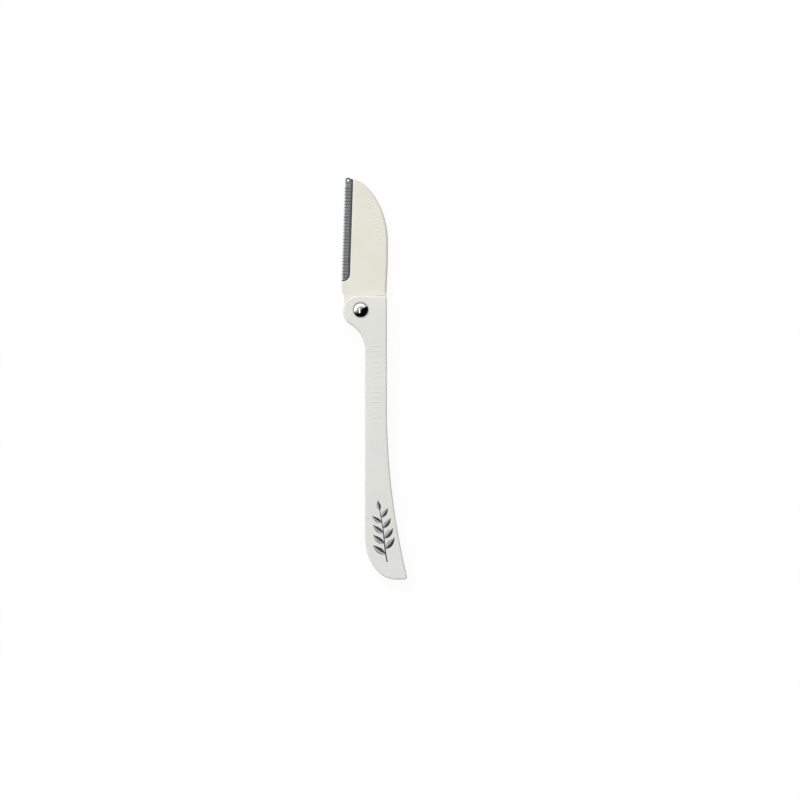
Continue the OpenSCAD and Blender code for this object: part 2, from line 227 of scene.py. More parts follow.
def soften(outline: Points, spacing: float, window: float) -> Points:
    """Rounds the corners of a closed outline by a running mean over a stretch of it.

    Args:
        outline: Points of the outline.
        spacing: Distance between the points of the result.
        window: Length of the stretch that is averaged, which sets how round a corner gets.

    Returns:
        The averaged outline.
    """
    path = resample(np.vstack([outline, outline[:1]]), spacing)[:-1]
    half = round(window / spacing / 2)
    return np.mean([np.roll(path, shift, axis=0) for shift in range(-half, half + 1)], axis=0)


def normals(outline: Points) -> Points:
    """Inward offsets of a counter-clockwise outline that move each of its sides by one unit.

    Args:
        outline: Points of the closed outline.

    Returns:
        The sum of the left-hand normals of the two sides at a point, over one plus their dot product.
    """
    side = np.roll(outline, -1, axis=0) - outline
    side /= np.linalg.norm(side, axis=1, keepdims=True)
    after = np.stack([-side[:, 1], side[:, 0]], axis=-1)
    before = np.roll(after, 1, axis=0)
    return (before + after) / (1 + np.sum(before * after, axis=1, keepdims=True))


def room(outline: Points, most: float = 10.0, reach: int = 4) -> Points:
    """Depth to which each point of a closed outline can move inwards before the outline folds over itself.

    Two neighbours meet at the depth where their side has shrunk to nothing: its squared length over minus its
    dot product with the change of their offsets. A point takes the mean of the least depths near it.

    Args:
        outline: Points of the outline, counter-clockwise.
        most: Greatest depth that a point gets.
        reach: Number of neighbours on each side that count as near.

    Returns:
        One depth for each point.
    """
    offset, near = normals(outline), range(-reach, reach + 1)
    side = np.roll(outline, -1, axis=0) - outline
    shrink = -np.sum(side * (np.roll(offset, -1, axis=0) - offset), axis=1)
    squared = np.sum(side ** 2, axis=1)
    depth = squared / np.maximum(shrink, squared / most)
    least = np.min([np.roll(depth, shift) for shift in near], axis=0)
    return np.mean([np.roll(least, shift) for shift in near], axis=0)


def quads(rows: int, columns: int, wrap: bool, keep: NDArray[np.bool_] | None = None) -> Faces:
    """Faces of a grid of points that is stored row by row.

    Args:
        rows: Number of rows.
        columns: Number of points in a row.
        wrap: Whether the last column joins the first.
        keep: Mask of the cells to make, or None for all of them.

    Returns:
        Four indices a cell, which turn from the column's way to the row's way.
    """
    row = np.arange(rows - 1)[:, None] * columns
    column = np.arange(columns if wrap else columns - 1)[None, :]
    after = (column + 1) % columns
    cells = np.stack([row + column, row + after, row + columns + after, row + columns + column], axis=-1)
    return (cells.reshape(-1, 4) if keep is None else cells[keep]).tolist()


@dataclass(frozen=True)
class Placement:
    """Takes millimetres about the rivet's axis into the frame's metres."""

    pivot: tuple[float, float]

    @classmethod
    def from_joint(cls, joint: dict) -> "Placement":
        """Reads the rivet's axis from the fold joint."""
        return cls((joint["pos_m"][0], joint["pos_m"][1]))

    def metres(self, points: Points) -> Points:
        """Gives points in millimetres in the frame's metres."""
        return points * MM + np.array([*self.pivot, 0.0])


@dataclass(frozen=True)
class Levels:
    """Heights above the handle's back face in millimetres, read from the frame."""

    front: float
    slot_low: float
    slot_high: float
    carrier_low: float
    middle: float
    foil_high: float
    dome_high: float
    pin_low: float
    flange_low: float
    tube_high: float

    @classmethod
    def from_frame(cls) -> "Levels":
        """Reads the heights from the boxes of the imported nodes.

        Returns:
            The heights.
        """
        def low(node: str) -> float:
            """Lowest height of a node."""
            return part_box(node)[0].z / MM

        def high(node: str) -> float:
            """Greatest height of a node."""
            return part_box(node)[1].z / MM

        return cls(
            front=low("foil_sprig"), slot_low=low("rear_washer"), slot_high=high("front_washer"),
            carrier_low=low("blade_carrier"), middle=(low("blade") + high("blade")) / 2,
            foil_high=high("foil_sprig"), dome_high=high("rivet_stud"), pin_low=low("rivet_stud"),
            flange_low=low("rivet_socket"), tube_high=high("rivet_socket"),
        )


class Shape:
    """A mesh in the making: points in millimetres about the rivet, and faces."""

    def __init__(self, points: Points, faces: Faces, place: Points | None = None) -> None:
        """Keeps what the shape is made of.

        Args:
            points: The points, in rows of three coordinates or in any grid of such rows.
            faces: The indices of each face's corners.
            place: Each point's place on its strip, if the finish needs it.
        """
        self.points = np.asarray(points, float).reshape(-1, 3)
        self.faces = faces
        self.place = None if place is None else place.reshape(-1, 3)

    def joined(self, *others: "Shape") -> "Shape":
        """Puts other shapes beside this one.

        Args:
            others: The shapes to add.

        Returns:
            One shape that holds them all.
        """
        points, faces, place = self.points, list(self.faces), self.place
        for other in others:
            faces += [[corner + len(points) for corner in face] for face in other.faces]
            points = np.vstack([points, other.points])
            place = None if place is None else np.vstack([place, other.place])
        return Shape(points, faces, place)

    def build(self, name: str, place: Placement) -> bpy.types.Object:
        """Makes a Blender object with its place in its mesh.

        Args:
            name: Name of the object.
            place: Placement of the rivet's axis.

        Returns:
            The linked object, with doubled points merged and its faces smooth.
        """
        mesh = bpy.data.meshes.new(name)
        mesh.from_pydata(place.metres(self.points).tolist(), [], self.faces)
        if self.place is not None:
            strip = mesh.attributes.new("strip_place", "FLOAT_VECTOR", "POINT")
            strip.data.foreach_set("vector", self.place.ravel())
        cleaner = bmesh.new()
        cleaner.from_mesh(mesh)
        bmesh.ops.remove_doubles(cleaner, verts=cleaner.verts, dist=MERGED * MM)
        cleaner.to_mesh(mesh)
        cleaner.free()
        mesh.validate()
        mesh.shade_smooth()
        built = bpy.data.objects.new(name, mesh)
        bpy.context.scene.collection.objects.link(built)
        return built


def apply_modifiers(piece: bpy.types.Object) -> None:
    """Replaces a piece's mesh with the result of its modifiers.

    Args:
        piece: The object, which has no modifier left afterwards.
    """
    evaluated = piece.evaluated_get(bpy.context.evaluated_depsgraph_get())
    result = bpy.data.meshes.new_from_object(evaluated)
    piece.modifiers.clear()
    old, piece.data = piece.data, result
    bpy.data.meshes.remove(old)
    result.name = piece.name


class Combine(Enum):
    """How a second solid acts on a first one."""

    CUT = "DIFFERENCE"
    ADD = "UNION"


def combine(piece: bpy.types.Object, other: bpy.types.Object, how: Combine) -> None:
    """Cuts a second solid out of a piece, or adds it, and deletes the second one.

    Args:
        piece: The object that is changed.
        other: The second solid.
        how: Whether it is cut out or added.
    """
    boolean = piece.modifiers.new(how.name.lower(), "BOOLEAN")
    boolean.operation = how.value
    boolean.solver = "EXACT"
    boolean.object = other
    apply_modifiers(piece)
    mesh = other.data
    bpy.data.objects.remove(other)
    bpy.data.meshes.remove(mesh)


def keep_flats(piece: bpy.types.Object) -> None:
    """Keeps a piece's flat faces flat in the shading, by normals weighted with the faces' areas.

    Args:
        piece: The object that gets the normals.
    """
    weighted = piece.modifiers.new("flat_faces", "WEIGHTED_NORMAL")
    weighted.keep_sharp = True
    apply_modifiers(piece)


def face_outwards(piece: bpy.types.Object) -> None:
    """Turns all faces of a closed piece outwards.

    Args:
        piece: The object, whose normals are worked out anew.
    """
    mesh = bmesh.new()
    mesh.from_mesh(piece.data)
    bmesh.ops.recalc_face_normals(mesh, faces=mesh.faces)
    mesh.to_mesh(piece.data)
    mesh.free()


def finish_edges(piece: bpy.types.Object, width: float, segments: int) -> None:
    """Breaks a piece's sharp edges and keeps its flat faces flat in the shading.

    Args:
        piece: The object to finish.
        width: Width of the broken edge in millimetres.
        segments: Number of facets across it.
    """
    bevel = piece.modifiers.new("broken_edges", "BEVEL")
    bevel.width = width * MM
    bevel.segments = segments
    bevel.limit_method = "ANGLE"
    bevel.angle_limit = math.radians(BROKEN_ANGLE)
    bevel.use_clamp_overlap = False
    keep_flats(piece)


def plate_rings(
    low: float, high: float, edge_r: float, levels: tuple[float, ...] = (), steps: int = 8, rim: float = 0.05,
) -> Points:
    """Rings of a plate with rounded edges: quarter circles up to the side wall, and a flat rim inside each.

    Args:
        low: Height of the back face.
        high: Height of the front face.
        edge_r: Radius of the rounded edges.
        levels: Heights of more rings on the side wall.
        steps: Steps of each quarter circle.
        rim: Width of the flat rim.

    Returns:
        For each ring, its distance inside the outline and its height.
    """
    angles = np.radians(np.linspace(0, 90, steps + 1))
    depth = np.concatenate([[edge_r + rim], edge_r * (1 - np.sin(angles))])
    rise = np.concatenate([[0.0], edge_r * (1 - np.cos(angles))])
    return np.concatenate([
        np.stack([depth, low + rise], axis=-1),
        np.array([[0.0, level] for level in levels]).reshape(-1, 2),
        np.stack([depth, high - rise], axis=-1)[::-1],
    ])


def ring_points(
    outline: Points, rings: Points, limit: Points | float = 1.0, room_share: float = 0.85,
) -> Points:
    """Points of an outline repeated on each ring, moved inwards and lifted as the ring says.

    Where a corner has too little room, all rings move inwards by the same share of their distance.

    Args:
        outline: Points of the closed outline.
        rings: Distance inside the outline and height of each ring.
        limit: Largest share of a ring's distance that a point moves inwards.
        room_share: Share of a corner's room that the rings use.

    Returns:
        An array of rings by points by coordinates.
    """
    share = np.minimum(limit, room_share * room(outline) / max(rings[:, 0].max(), MERGED))
    flat = outline[None] + rings[:, None, :1] * (share[:, None] * normals(outline))[None]
    heights = np.broadcast_to(rings[:, None, 1:], (len(rings), len(outline), 1))
    return np.concatenate([flat, heights], axis=-1)


def plate(outline: Points, rings: Points, limit: Points | float = 1.0) -> Shape:
    """Plate with rounded edges: the outline carried over the rings, and a flat face inside each end ring.

    Args:
        outline: Points of the closed outline, counter-clockwise.
        rings: Distance inside the outline and height of each ring, from the back to the front.
        limit: Largest share of a ring's distance that a point moves inwards.

    Returns:
        The closed shape.
    """
    count, last = len(outline), (len(rings) - 1) * len(outline)
    back = list(range(count))[::-1]
    front = list(range(last, last + count))
    sides = quads(len(rings), count, wrap=True)
    return Shape(ring_points(outline, rings, limit), sides + [back, front])


def revolve(profile: Points, steps: int, axis: tuple[float, float] = (0.0, 0.0)) -> Shape:
    """Turned body: a profile of radius and height carried round an upright axis.

    Args:
        profile: Radii and heights from axis to axis, with the body on their left.
        steps: Number of steps of the full turn.
        axis: Place of the axis.

    Returns:
        The closed shape.
    """
    angles = np.radians(np.arange(steps) * 360 / steps)
    points = np.stack([
        axis[0] + profile[:, :1] * np.cos(angles),
        axis[1] + profile[:, :1] * np.sin(angles),
        np.broadcast_to(profile[:, 1:], (len(profile), steps)),
    ], axis=-1)
    return Shape(points, quads(len(profile), steps, wrap=True))


@dataclass(frozen=True)
class Ribs:
    """Row of low ribs, each a stadium whose height falls as a cosine from its core line to its rim."""

    centres: Points
    angles: Points
    length: float
    surface: float
    half_width: float = 0.36
    height: float = 0.06
    depth: float = 0.3
    rings: int = 6
    steps: int = 24

    def shape(self) -> Shape:
        """Makes all ribs as one array of ribs by rings by points round the stadium.

        Returns:
            Closed bumps that reach a little under the surface.
        """
        share = np.linspace(0, 1, self.rings + 1)
        away = np.append(share, 1.0) * self.half_width
        rise = np.append(self.height * (1 + np.cos(np.pi * share)) / 2, -self.depth)
        angle = np.radians((np.arange(self.steps) + 0.5) * 360 / self.steps)
        core = (self.length / 2 - self.half_width) * np.sign(np.cos(angle))
        along = core[None] + away[:, None] * np.cos(angle)[None]
        across = away[:, None] * np.sin(angle)[None]
        way = np.radians(self.angles)[:, None, None]
        points = np.stack([
            self.centres[:, 0, None, None] + along * np.cos(way) - across * np.sin(way),
            self.centres[:, 1, None, None] + along * np.sin(way) + across * np.cos(way),
            np.broadcast_to(self.surface + rise[None, :, None], (len(self.centres), *along.shape)),
        ], axis=-1)
        cells = np.array(quads(len(away), self.steps, wrap=True))[:, ::-1]
        base = np.arange(len(self.centres)) * along.size
        faces = (base[:, None, None] + cells[None]).reshape(-1, 4).tolist()
        bottom = np.arange((len(away) - 1) * self.steps, len(away) * self.steps)[::-1]
        return Shape(points, faces + (base[:, None] + bottom[None]).tolist())


@dataclass(frozen=True)
class EdgeFrame:
    """Frame along the cutting edge: u runs from the edge towards the blade's back, v along the edge."""

    edge_x: float = 7.0
    edge_y: float = 10.6
    tilt: float = 1.9

    def plan(self, u: Points | float, v: Points | float) -> Points:
        """Turns u and v by the tilt and moves them to the cutting edge's lower end.

        Args:
            u: Distances from the cutting edge.
            v: Distances along it.

        Returns:
            Places about the rivet.
        """
        cos, sin = math.cos(math.radians(self.tilt)), math.sin(math.radians(self.tilt))
        u, v = np.broadcast_arrays(np.asarray(u, float), np.asarray(v, float))
        return np.stack([u * cos + v * sin - self.edge_x, v * cos - u * sin + self.edge_y], axis=-1)

    def solid(self, points: Points, middle: float) -> Points:
        """Places points of u, v and height about the blade's middle.

        Args:
            points: The points, with their coordinates last.
            middle: Height of the blade's middle.

        Returns:
            The same points about the rivet.
        """
        return np.concatenate([self.plan(points[..., 0], points[..., 1]), points[..., 2:] + middle], axis=-1)


@dataclass(frozen=True)
class BladeSizes:
    """Sizes that the blade's carrier and its guard share, in millimetres."""

    blade_w: float = 6.0
    blade_l: float = 36.8
    blade_t: float = 0.25
    blade_clip: float = 2.4
    sheet_t: float = 0.15
    guard_w: float = 2.9
    nose_out: float = 0.3
    lug_r: float = 1.05
    lug_v: float = 37.8
    band_rise: float = 0.6
    band_corner_r: float = 0.4
    recess_r: float = 2.65
    border_w: float = 0.95
    peg_d: float = 1.4
    peg_back: float = 1.1
    peg_gap: float = 0.05
    peg_low: float = 5.0
    peg_top_in: float = 6.0
    peg_count: int = 3
    insert_gap: float = 0.02

    @property
    def guard_t(self) -> float:
        """Thickness of the folded guard over the blade."""
        return self.blade_t + 2 * self.sheet_t

    @property
    def peg_u(self) -> float:
        """Distance of the pegs from the cutting edge."""
        return self.blade_w - self.peg_back

    @property
    def leg_end(self) -> float:
        """Distance from the cutting edge at which the guard's legs end."""
        return self.peg_u - self.peg_d / 2 - self.peg_gap

    @property
    def leg_top(self) -> float:
        """Height along the edge at which the legs end and the lug starts."""
        return self.lug_v - self.lug_r

    @property
    def band_top(self) -> float:
        """Height along the edge of the guard's shoulder beside the lug."""
        return self.lug_v + self.band_rise


class Nodes:
    """Short way to fill a node tree."""

    def __init__(self, tree: bpy.types.NodeTree) -> None:
        """Keeps the tree."""
        self.tree = tree

    def add(self, kind: str, inputs: dict | None = None, **settings: object) -> bpy.types.Node:
        """Adds a node.

        Args:
            kind: The node's type name.
            inputs: For sockets by name or number, a value or an output to link.
            settings: Properties of the node.

        Returns:
            The new node.
        """
        node = self.tree.nodes.new(kind)
        for name, value in settings.items():
            setattr(node, name, value)
        for name, value in (inputs or {}).items():
            self.feed(node.inputs[name], value)
        return node

    def feed(self, socket: Socket, value: object) -> None:
        """Links an output to a socket, or sets the socket's own value.

        Args:
            socket: The input socket.
            value: The output to link, or the value.
        """
        if isinstance(value, Socket):
            self.tree.links.new(value, socket)
        else:
            socket.default_value = value

    def math(self, operation: str, first: object, *others: object, clamp: bool = False) -> Socket:
        """Works on one value, or on several from the first on, with one Math node for each step.

        Args:
            operation: The operation's name.
            first: The first value.
            others: The values that follow.
            clamp: Whether each result is kept between 0 and 1.

        Returns:
            The last node's output.
        """
        if not others:
            return self.add("ShaderNodeMath", {0: first}, operation=operation).outputs[0]
        for other in others:
            node = self.add("ShaderNodeMath", {0: first, 1: other}, operation=operation, use_clamp=clamp)
            first = node.outputs[0]
        return first

    def vector(self, operation: str, *values: object) -> Socket:
        """Adds a Vector Math node and gives its output, which is a value for a length or a dot product."""
        outputs = self.add("ShaderNodeVectorMath", dict(enumerate(values)), operation=operation).outputs
        return outputs["Value" if operation in ("LENGTH", "DOT_PRODUCT") else "Vector"]

    def parts(self, vector: object) -> list[Socket]:
        """Gives a vector's three parts."""
        return list(self.add("ShaderNodeSeparateXYZ", {0: vector}).outputs)

    def point(self) -> Socket:
        """Gives the Object coordinates."""
        return self.add("ShaderNodeTexCoord").outputs["Object"]

    def remap(
        self, value: object, low: float, high: float, to_low: float = 0.0, to_high: float = 1.0,
    ) -> Socket:
        """Adds a smooth Map Range from low and high to two other values, and gives its output."""
        inputs = {0: value, 1: low, 2: high, 3: to_low, 4: to_high}
        return self.add("ShaderNodeMapRange", inputs, interpolation_type="SMOOTHSTEP").outputs[0]

    def noise(self, vector: object, scale: float, detail: float, rough: float = 0.5) -> Socket:
        """Adds a noise texture and gives its grey value."""
        inputs = {"Vector": vector, "Scale": scale, "Detail": detail, "Roughness": rough}
        return self.add("ShaderNodeTexNoise", inputs).outputs[0]

    def blend(self, share: object, first: object, second: object) -> Socket:
        """Adds a mix of two values and gives its result."""
        return self.add("ShaderNodeMix", {"Factor": share, 2: first, 3: second}).outputs[0]

    def mix(self, share: object, first: object, second: object) -> Socket:
        """Adds a mix of two colours and gives its result."""
        inputs = {"Factor": share, 6: first, 7: second}
        return self.add("ShaderNodeMix", inputs, data_type="RGBA").outputs[2]


def rgba(colour: Colour, factor: float = 1.0) -> tuple[float, float, float, float]:
    """Gives a colour with full alpha, times a factor."""
    return (colour[0] * factor, colour[1] * factor, colour[2] * factor, 1.0)


def new_group(name: str, inputs: dict[str, str], outputs: dict[str, str]) -> tuple[bpy.types.NodeTree, Nodes]:
    """Starts a shader node group.

    Args:
        name: Name of the group.
        inputs: Socket types of its inputs, by name.
        outputs: Socket types of its outputs, by name.

    Returns:
        The group's tree and its filler.
    """
    tree = bpy.data.node_groups.new(name, "ShaderNodeTree")
    for in_out, sockets in (("INPUT", inputs), ("OUTPUT", outputs)):
        for socket, kind in sockets.items():
            tree.interface.new_socket(socket, in_out=in_out, socket_type=kind)
    return tree, Nodes(tree)


VALUE, COLOUR, VECTOR = "NodeSocketFloat", "NodeSocketColor", "NodeSocketVector"


@dataclass(frozen=True)
class Mottle:
    """Noise that fades in between two of its grey levels, and may be stretched along the three axes."""

    scale: float
    detail: float
    low: float
    high: float
    rough: float = 0.5
    stretch: tuple[float, float, float] | None = None

    def mask(self, nodes: Nodes, vector: Socket) -> Socket:
        """Gives the share of the mottle.

        Args:
            nodes: The nodes of the tree that it is added to.
            vector: The coordinates that it follows.

        Returns:
            The share, from 0 to 1.
        """
        if self.stretch:
            vector = nodes.vector("MULTIPLY", vector, self.stretch)
        return nodes.remap(nodes.noise(vector, self.scale, self.detail, self.rough), self.low, self.high)


CLOUDS = Mottle(70, 3, 0.35, 0.7)
SPECKS = Mottle(2600, 1, 0.66, 0.8)
SCRATCHES = Mottle(1, 3, 0.62, 0.75, 0.6, (9000, 500, 500))
CROSSED_SCRATCHES = Mottle(1, 2, 0.66, 0.78, 0.6, (420, 7000, 420))
SCUFF_PATCHES = Mottle(160, 2, 0.45, 0.7)
STAINS = Mottle(420, 4, 0.42, 0.72, 0.6)


def moulded_skin(cloud_gloss: float = 0.05, scuff_depth: float = 0.6) -> bpy.types.NodeTree:
    """Builds the skin of moulded plastic: slow clouds of tone, fine specks, scuffs and a faint peel.

    Args:
        cloud_gloss: Share of the clouds that adds to the roughness.
        scuff_depth: Depth of the scuffs, as a share of the peel's height.

    Returns:
        The node group.
    """
    tree, nodes = new_group(
        "moulded_skin",
        {"Vector": VECTOR, "Colour": COLOUR, "Shade": COLOUR, "Clouds": VALUE, "Specks": VALUE,
         "Roughness": VALUE, "Scuffs": VALUE, "Peel": VALUE},
        {"Colour": COLOUR, "Roughness": VALUE, "Height": VALUE},
    )
    given = nodes.add("NodeGroupInput").outputs
    point = given["Vector"]
    cloud = nodes.math("MULTIPLY", CLOUDS.mask(nodes, point), given["Clouds"])
    speck = nodes.math("MULTIPLY", SPECKS.mask(nodes, point), given["Specks"])
    toned = nodes.mix(nodes.math("ADD", cloud, speck, clamp=True), given["Colour"], given["Shade"])
    scratch = nodes.math("MAXIMUM", SCRATCHES.mask(nodes, point), CROSSED_SCRATCHES.mask(nodes, point))
    scuff = nodes.math("MULTIPLY", scratch, SCUFF_PATCHES.mask(nodes, point), given["Scuffs"])
    rough = nodes.math("ADD", given["Roughness"], scuff, nodes.math("MULTIPLY", cloud, cloud_gloss))
    peel = nodes.math("MULTIPLY", nodes.noise(point, scale=1900, detail=2), given["Peel"])
    height = nodes.math("SUBTRACT", peel, nodes.math("MULTIPLY", scuff, scuff_depth))
    nodes.add("NodeGroupOutput", {"Colour": toned, "Roughness": rough, "Height": height})
    return tree


def worked_metal(line_gloss: float = 0.3, stain_gloss: float = 0.08) -> bpy.types.NodeTree:
    """Builds the skin of worked metal: fine tool lines in tone, gloss and height, under slow stains.

    Args:
        line_gloss: Share of the tool lines that adds to the roughness.
        stain_gloss: Share of the stains that adds to the roughness.

    Returns:
        The node group.
    """
    tree, nodes = new_group(
        "worked_metal",
        {"Vector": VECTOR, "Grain": VECTOR, "Colour": COLOUR, "Stain": COLOUR, "Lines": VALUE,
         "Stains": VALUE, "Roughness": VALUE},
        {"Colour": COLOUR, "Roughness": VALUE, "Height": VALUE},
    )
    given = nodes.add("NodeGroupInput").outputs
    grey = nodes.noise(given["Grain"], scale=1, detail=4, rough=0.65)
    line = nodes.math("MULTIPLY", nodes.math("SUBTRACT", grey, 0.5), given["Lines"])
    stain = STAINS.mask(nodes, given["Vector"])
    share = nodes.math("ADD", nodes.math("MULTIPLY", stain, given["Stains"]), line, clamp=True)
    toned = nodes.mix(share, given["Colour"], given["Stain"])
    rough = nodes.math("ADD", given["Roughness"], nodes.math("MULTIPLY", line, line_gloss),
                       nodes.math("MULTIPLY", stain, stain_gloss))
    nodes.add("NodeGroupOutput", {"Colour": toned, "Roughness": rough, "Height": line})
    return tree


def new_material(name: str) -> tuple[bpy.types.Material, Nodes]:
    """Starts an empty node material.

    Args:
        name: Name of the material.

    Returns:
        The material and the filler of its nodes.
    """
    material = bpy.data.materials.new(name)
    material.use_nodes = True
    material.node_tree.nodes.clear()
    return material, Nodes(material.node_tree)


def add_shader(nodes: Nodes, group: bpy.types.NodeTree, values: dict, height: float, constants: dict) -> None:
    """Places a skin in a material and feeds it to the shader.

    Args:
        nodes: The material's nodes.
        group: The skin, which gives a colour, a roughness and a height.
        values: The skin's inputs by name.
        height: Height of its relief in millimetres.
        constants: Values of the shader's own sockets by name.
    """
    skin = nodes.add("ShaderNodeGroup", values, node_tree=group).outputs
    bump = nodes.add("ShaderNodeBump", {"Height": skin["Height"], "Distance": height * MM})
    shader = nodes.add("ShaderNodeBsdfPrincipled", {
        "Base Color": skin["Colour"], "Roughness": skin["Roughness"], "Normal": bump.outputs[0], **constants,
    })
    nodes.add("ShaderNodeOutputMaterial", {"Surface": shader.outputs[0]})


@dataclass(frozen=True)
class PlasticFinish:
    """Glossy or matte moulded plastic."""

    name: str
    colour: Colour
    shade: Colour
    roughness: float
    clouds: float = 0.5
    specks: float = 0.3
    scuffs: float = 0.12
    peel: float = 0.4
    peel_height: float = 0.004
    ior: float = 1.5

    def material(self, group: bpy.types.NodeTree) -> bpy.types.Material:
        """Makes the material.

        Args:
            group: The moulded skin.

        Returns:
            The material.
        """
        material, nodes = new_material(self.name)
        add_shader(nodes, group, {
            "Vector": nodes.point(), "Colour": rgba(self.colour), "Shade": rgba(self.shade),
            "Clouds": self.clouds, "Specks": self.specks, "Roughness": self.roughness,
            "Scuffs": self.scuffs, "Peel": self.peel,
        }, self.peel_height, {"IOR": self.ior})
        return material


class Grain(Enum):
    """Way that a metal's tool lines run."""

    ALONG = "along the cutting edge"
    TURNED = "round the rivet's axis"


@dataclass(frozen=True)
class ToneOrHighlightBand:
    """Other tone of a metal, or a painted highlight on it, up to a distance from the cutting edge or from a
    point.
    """

    colour: Colour
    full_to: float
    none_from: float
    centre: tuple[float, float] | None = None

    def mask(self, nodes: Nodes, local: Socket) -> Socket:
        """Gives the share of this tone: one up to its full distance, and none from a further one on.

        Args:
            nodes: The material's nodes.
            local: Coordinates in the piece's own frame, in metres.

        Returns:
            The share.
        """
        if self.centre is None:
            distance = nodes.parts(local)[0]
        else:
            centre = (self.centre[0] * MM, self.centre[1] * MM, 0.0)
            offset = nodes.vector("SUBTRACT", local, centre)
            distance = nodes.vector("LENGTH", nodes.vector("MULTIPLY", offset, FLAT))
        return nodes.remap(distance, self.full_to * MM, self.none_from * MM, 1, 0)


@dataclass(frozen=True)
class MetalFinish:
    """Worked metal with its tool lines."""

    name: str
    colour: Colour
    stain: Colour
    roughness: float
    grain: Grain
    lines: float = 0.5
    stains: float = 0.3
    metallic: float = 1.0
    line_height: float = 0.002
    line_width: float = 0.05
    line_length: float = 3.0
    bands: tuple[ToneOrHighlightBand, ...] = ()

    def tone(self, nodes: Nodes, local: Socket) -> object:
        """Gives the colour under the stains: the plain colour, with each band, painted highlights among them,
        mixed over it.

        Args:
            nodes: The material's nodes.
            local: Coordinates in the piece's own frame, in metres.

        Returns:
            The colour, or the output that holds it.
        """
        colour: object = rgba(self.colour)
        for band in self.bands:
            colour = nodes.mix(band.mask(nodes, local), colour, rgba(band.colour))
        return colour

    def grain_vector(self, nodes: Nodes, local: Socket) -> Socket:
        """Stretches the local coordinates along the tool lines.

        Args:
            nodes: The material's nodes.
            local: Coordinates in the piece's own frame, in metres.

        Returns:
            Coordinates of which one unit is a line's width across the grain.
        """
        fine, long = 1 / (self.line_width * MM), 1 / (self.line_length * MM)
        if self.grain is Grain.ALONG:
            return nodes.vector("MULTIPLY", local, (fine, long, fine))
        radius = nodes.vector("LENGTH", nodes.vector("MULTIPLY", local, FLAT))
        height = nodes.parts(local)[2]
        return nodes.add("ShaderNodeCombineXYZ", {
            0: nodes.math("MULTIPLY", radius, fine), 2: nodes.math("MULTIPLY", height, fine),
        }).outputs[0]

    def material(self, group: bpy.types.NodeTree, origin: Vector, tilt: float = 0.0) -> bpy.types.Material:
        """Makes the material.

        Args:
            group: The worked metal.
            origin: Origin of the piece's own frame, in the frame's metres.
            tilt: Clockwise turn of that frame, in degrees.

        Returns:
            The material.
        """
        material, nodes = new_material(self.name)
        local = local_point(nodes, origin, tilt)
        add_shader(nodes, group, {
            "Vector": nodes.point(), "Grain": self.grain_vector(nodes, local),
            "Colour": self.tone(nodes, local), "Stain": rgba(self.stain),
            "Lines": self.lines, "Stains": self.stains, "Roughness": self.roughness,
        }, self.line_height, {"Metallic": self.metallic})
        return material


@dataclass(frozen=True)
class FoilFinish(MetalFinish):
    """Stamped foil: each leaf has painted shade on one side of its midrib, as if that facet turned away from
    the light, and is veined silver on the other.
    """

    dark: Colour = (0.05, 0.05, 0.055)
    veins: float = 6.0
    slant: float = 2.2
    rim_fade: tuple[float, float] = (0.72, 0.84)
    # Shares across the midrib over which the painted shade on one half of each leaf fades out.
    shaded_half_fade: tuple[float, float] = (0.02, 0.14)
    vein_fade: tuple[float, float] = (0.2, 0.9)
    vein_share: float = 0.5

    def tone(self, nodes: Nodes, local: Socket) -> Socket:
        """Gives the foil's pattern: painted shade on one half, and dark near the rim, in the veins' sine and
        on the whole stem.

        Args:
            nodes: The material's nodes.
            local: Coordinates in the piece's own frame, which the pattern doesn't need.

        Returns:
            The output that holds the colour.
        """
        strip = nodes.add("ShaderNodeAttribute", attribute_name="strip_place").outputs["Vector"]
        across, along, darkness = nodes.parts(strip)
        away = nodes.math("ABSOLUTE", across)
        rim = nodes.remap(away, *self.rim_fade)
        # Painted shade on one half of each leaf, as if that facet turned away from the light.
        half = nodes.remap(across, *self.shaded_half_fade, 1, 0)
        phase = nodes.math("SUBTRACT", nodes.math("MULTIPLY", along, self.veins * math.tau),
                           nodes.math("MULTIPLY", away, self.slant))
        wave = nodes.remap(nodes.math("SINE", phase), *self.vein_fade)
        vein = nodes.math("MULTIPLY", wave, self.vein_share)
        dark = nodes.math("MAXIMUM", vein, darkness, rim, half)
        return nodes.mix(dark, rgba(self.colour), rgba(self.dark))


def local_point(nodes: Nodes, origin: Vector, tilt: float) -> Socket:
    """Gives Object coordinates about an origin, in a frame turned clockwise.

    Args:
        nodes: The material's nodes.
        origin: The frame's origin in metres.
        tilt: The frame's clockwise turn in degrees.

    Returns:
        The coordinates in that frame.
    """
    inputs = {"Vector": nodes.point(), "Location": origin, "Rotation": (0.0, 0.0, -math.radians(tilt))}
    return nodes.add("ShaderNodeMapping", inputs, vector_type="TEXTURE").outputs[0]


def dress(piece: bpy.types.Object, material: bpy.types.Material) -> None:
    """Gives a piece one material and reports it.

    Args:
        piece: The object.
        material: Its only material.
    """
    piece.data.materials.clear()
    piece.data.materials.append(material)
    log.info("%s is dressed in %s, with %d faces", piece.name, material.name, len(piece.data.polygons))


def fit(piece: bpy.types.Object, body: str, node: str) -> None:
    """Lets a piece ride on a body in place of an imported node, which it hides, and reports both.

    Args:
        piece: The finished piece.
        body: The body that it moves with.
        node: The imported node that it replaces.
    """
    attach(piece, body)
    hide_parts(node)
    log.info("%s rides on %s in place of %s", piece.name, body, node)


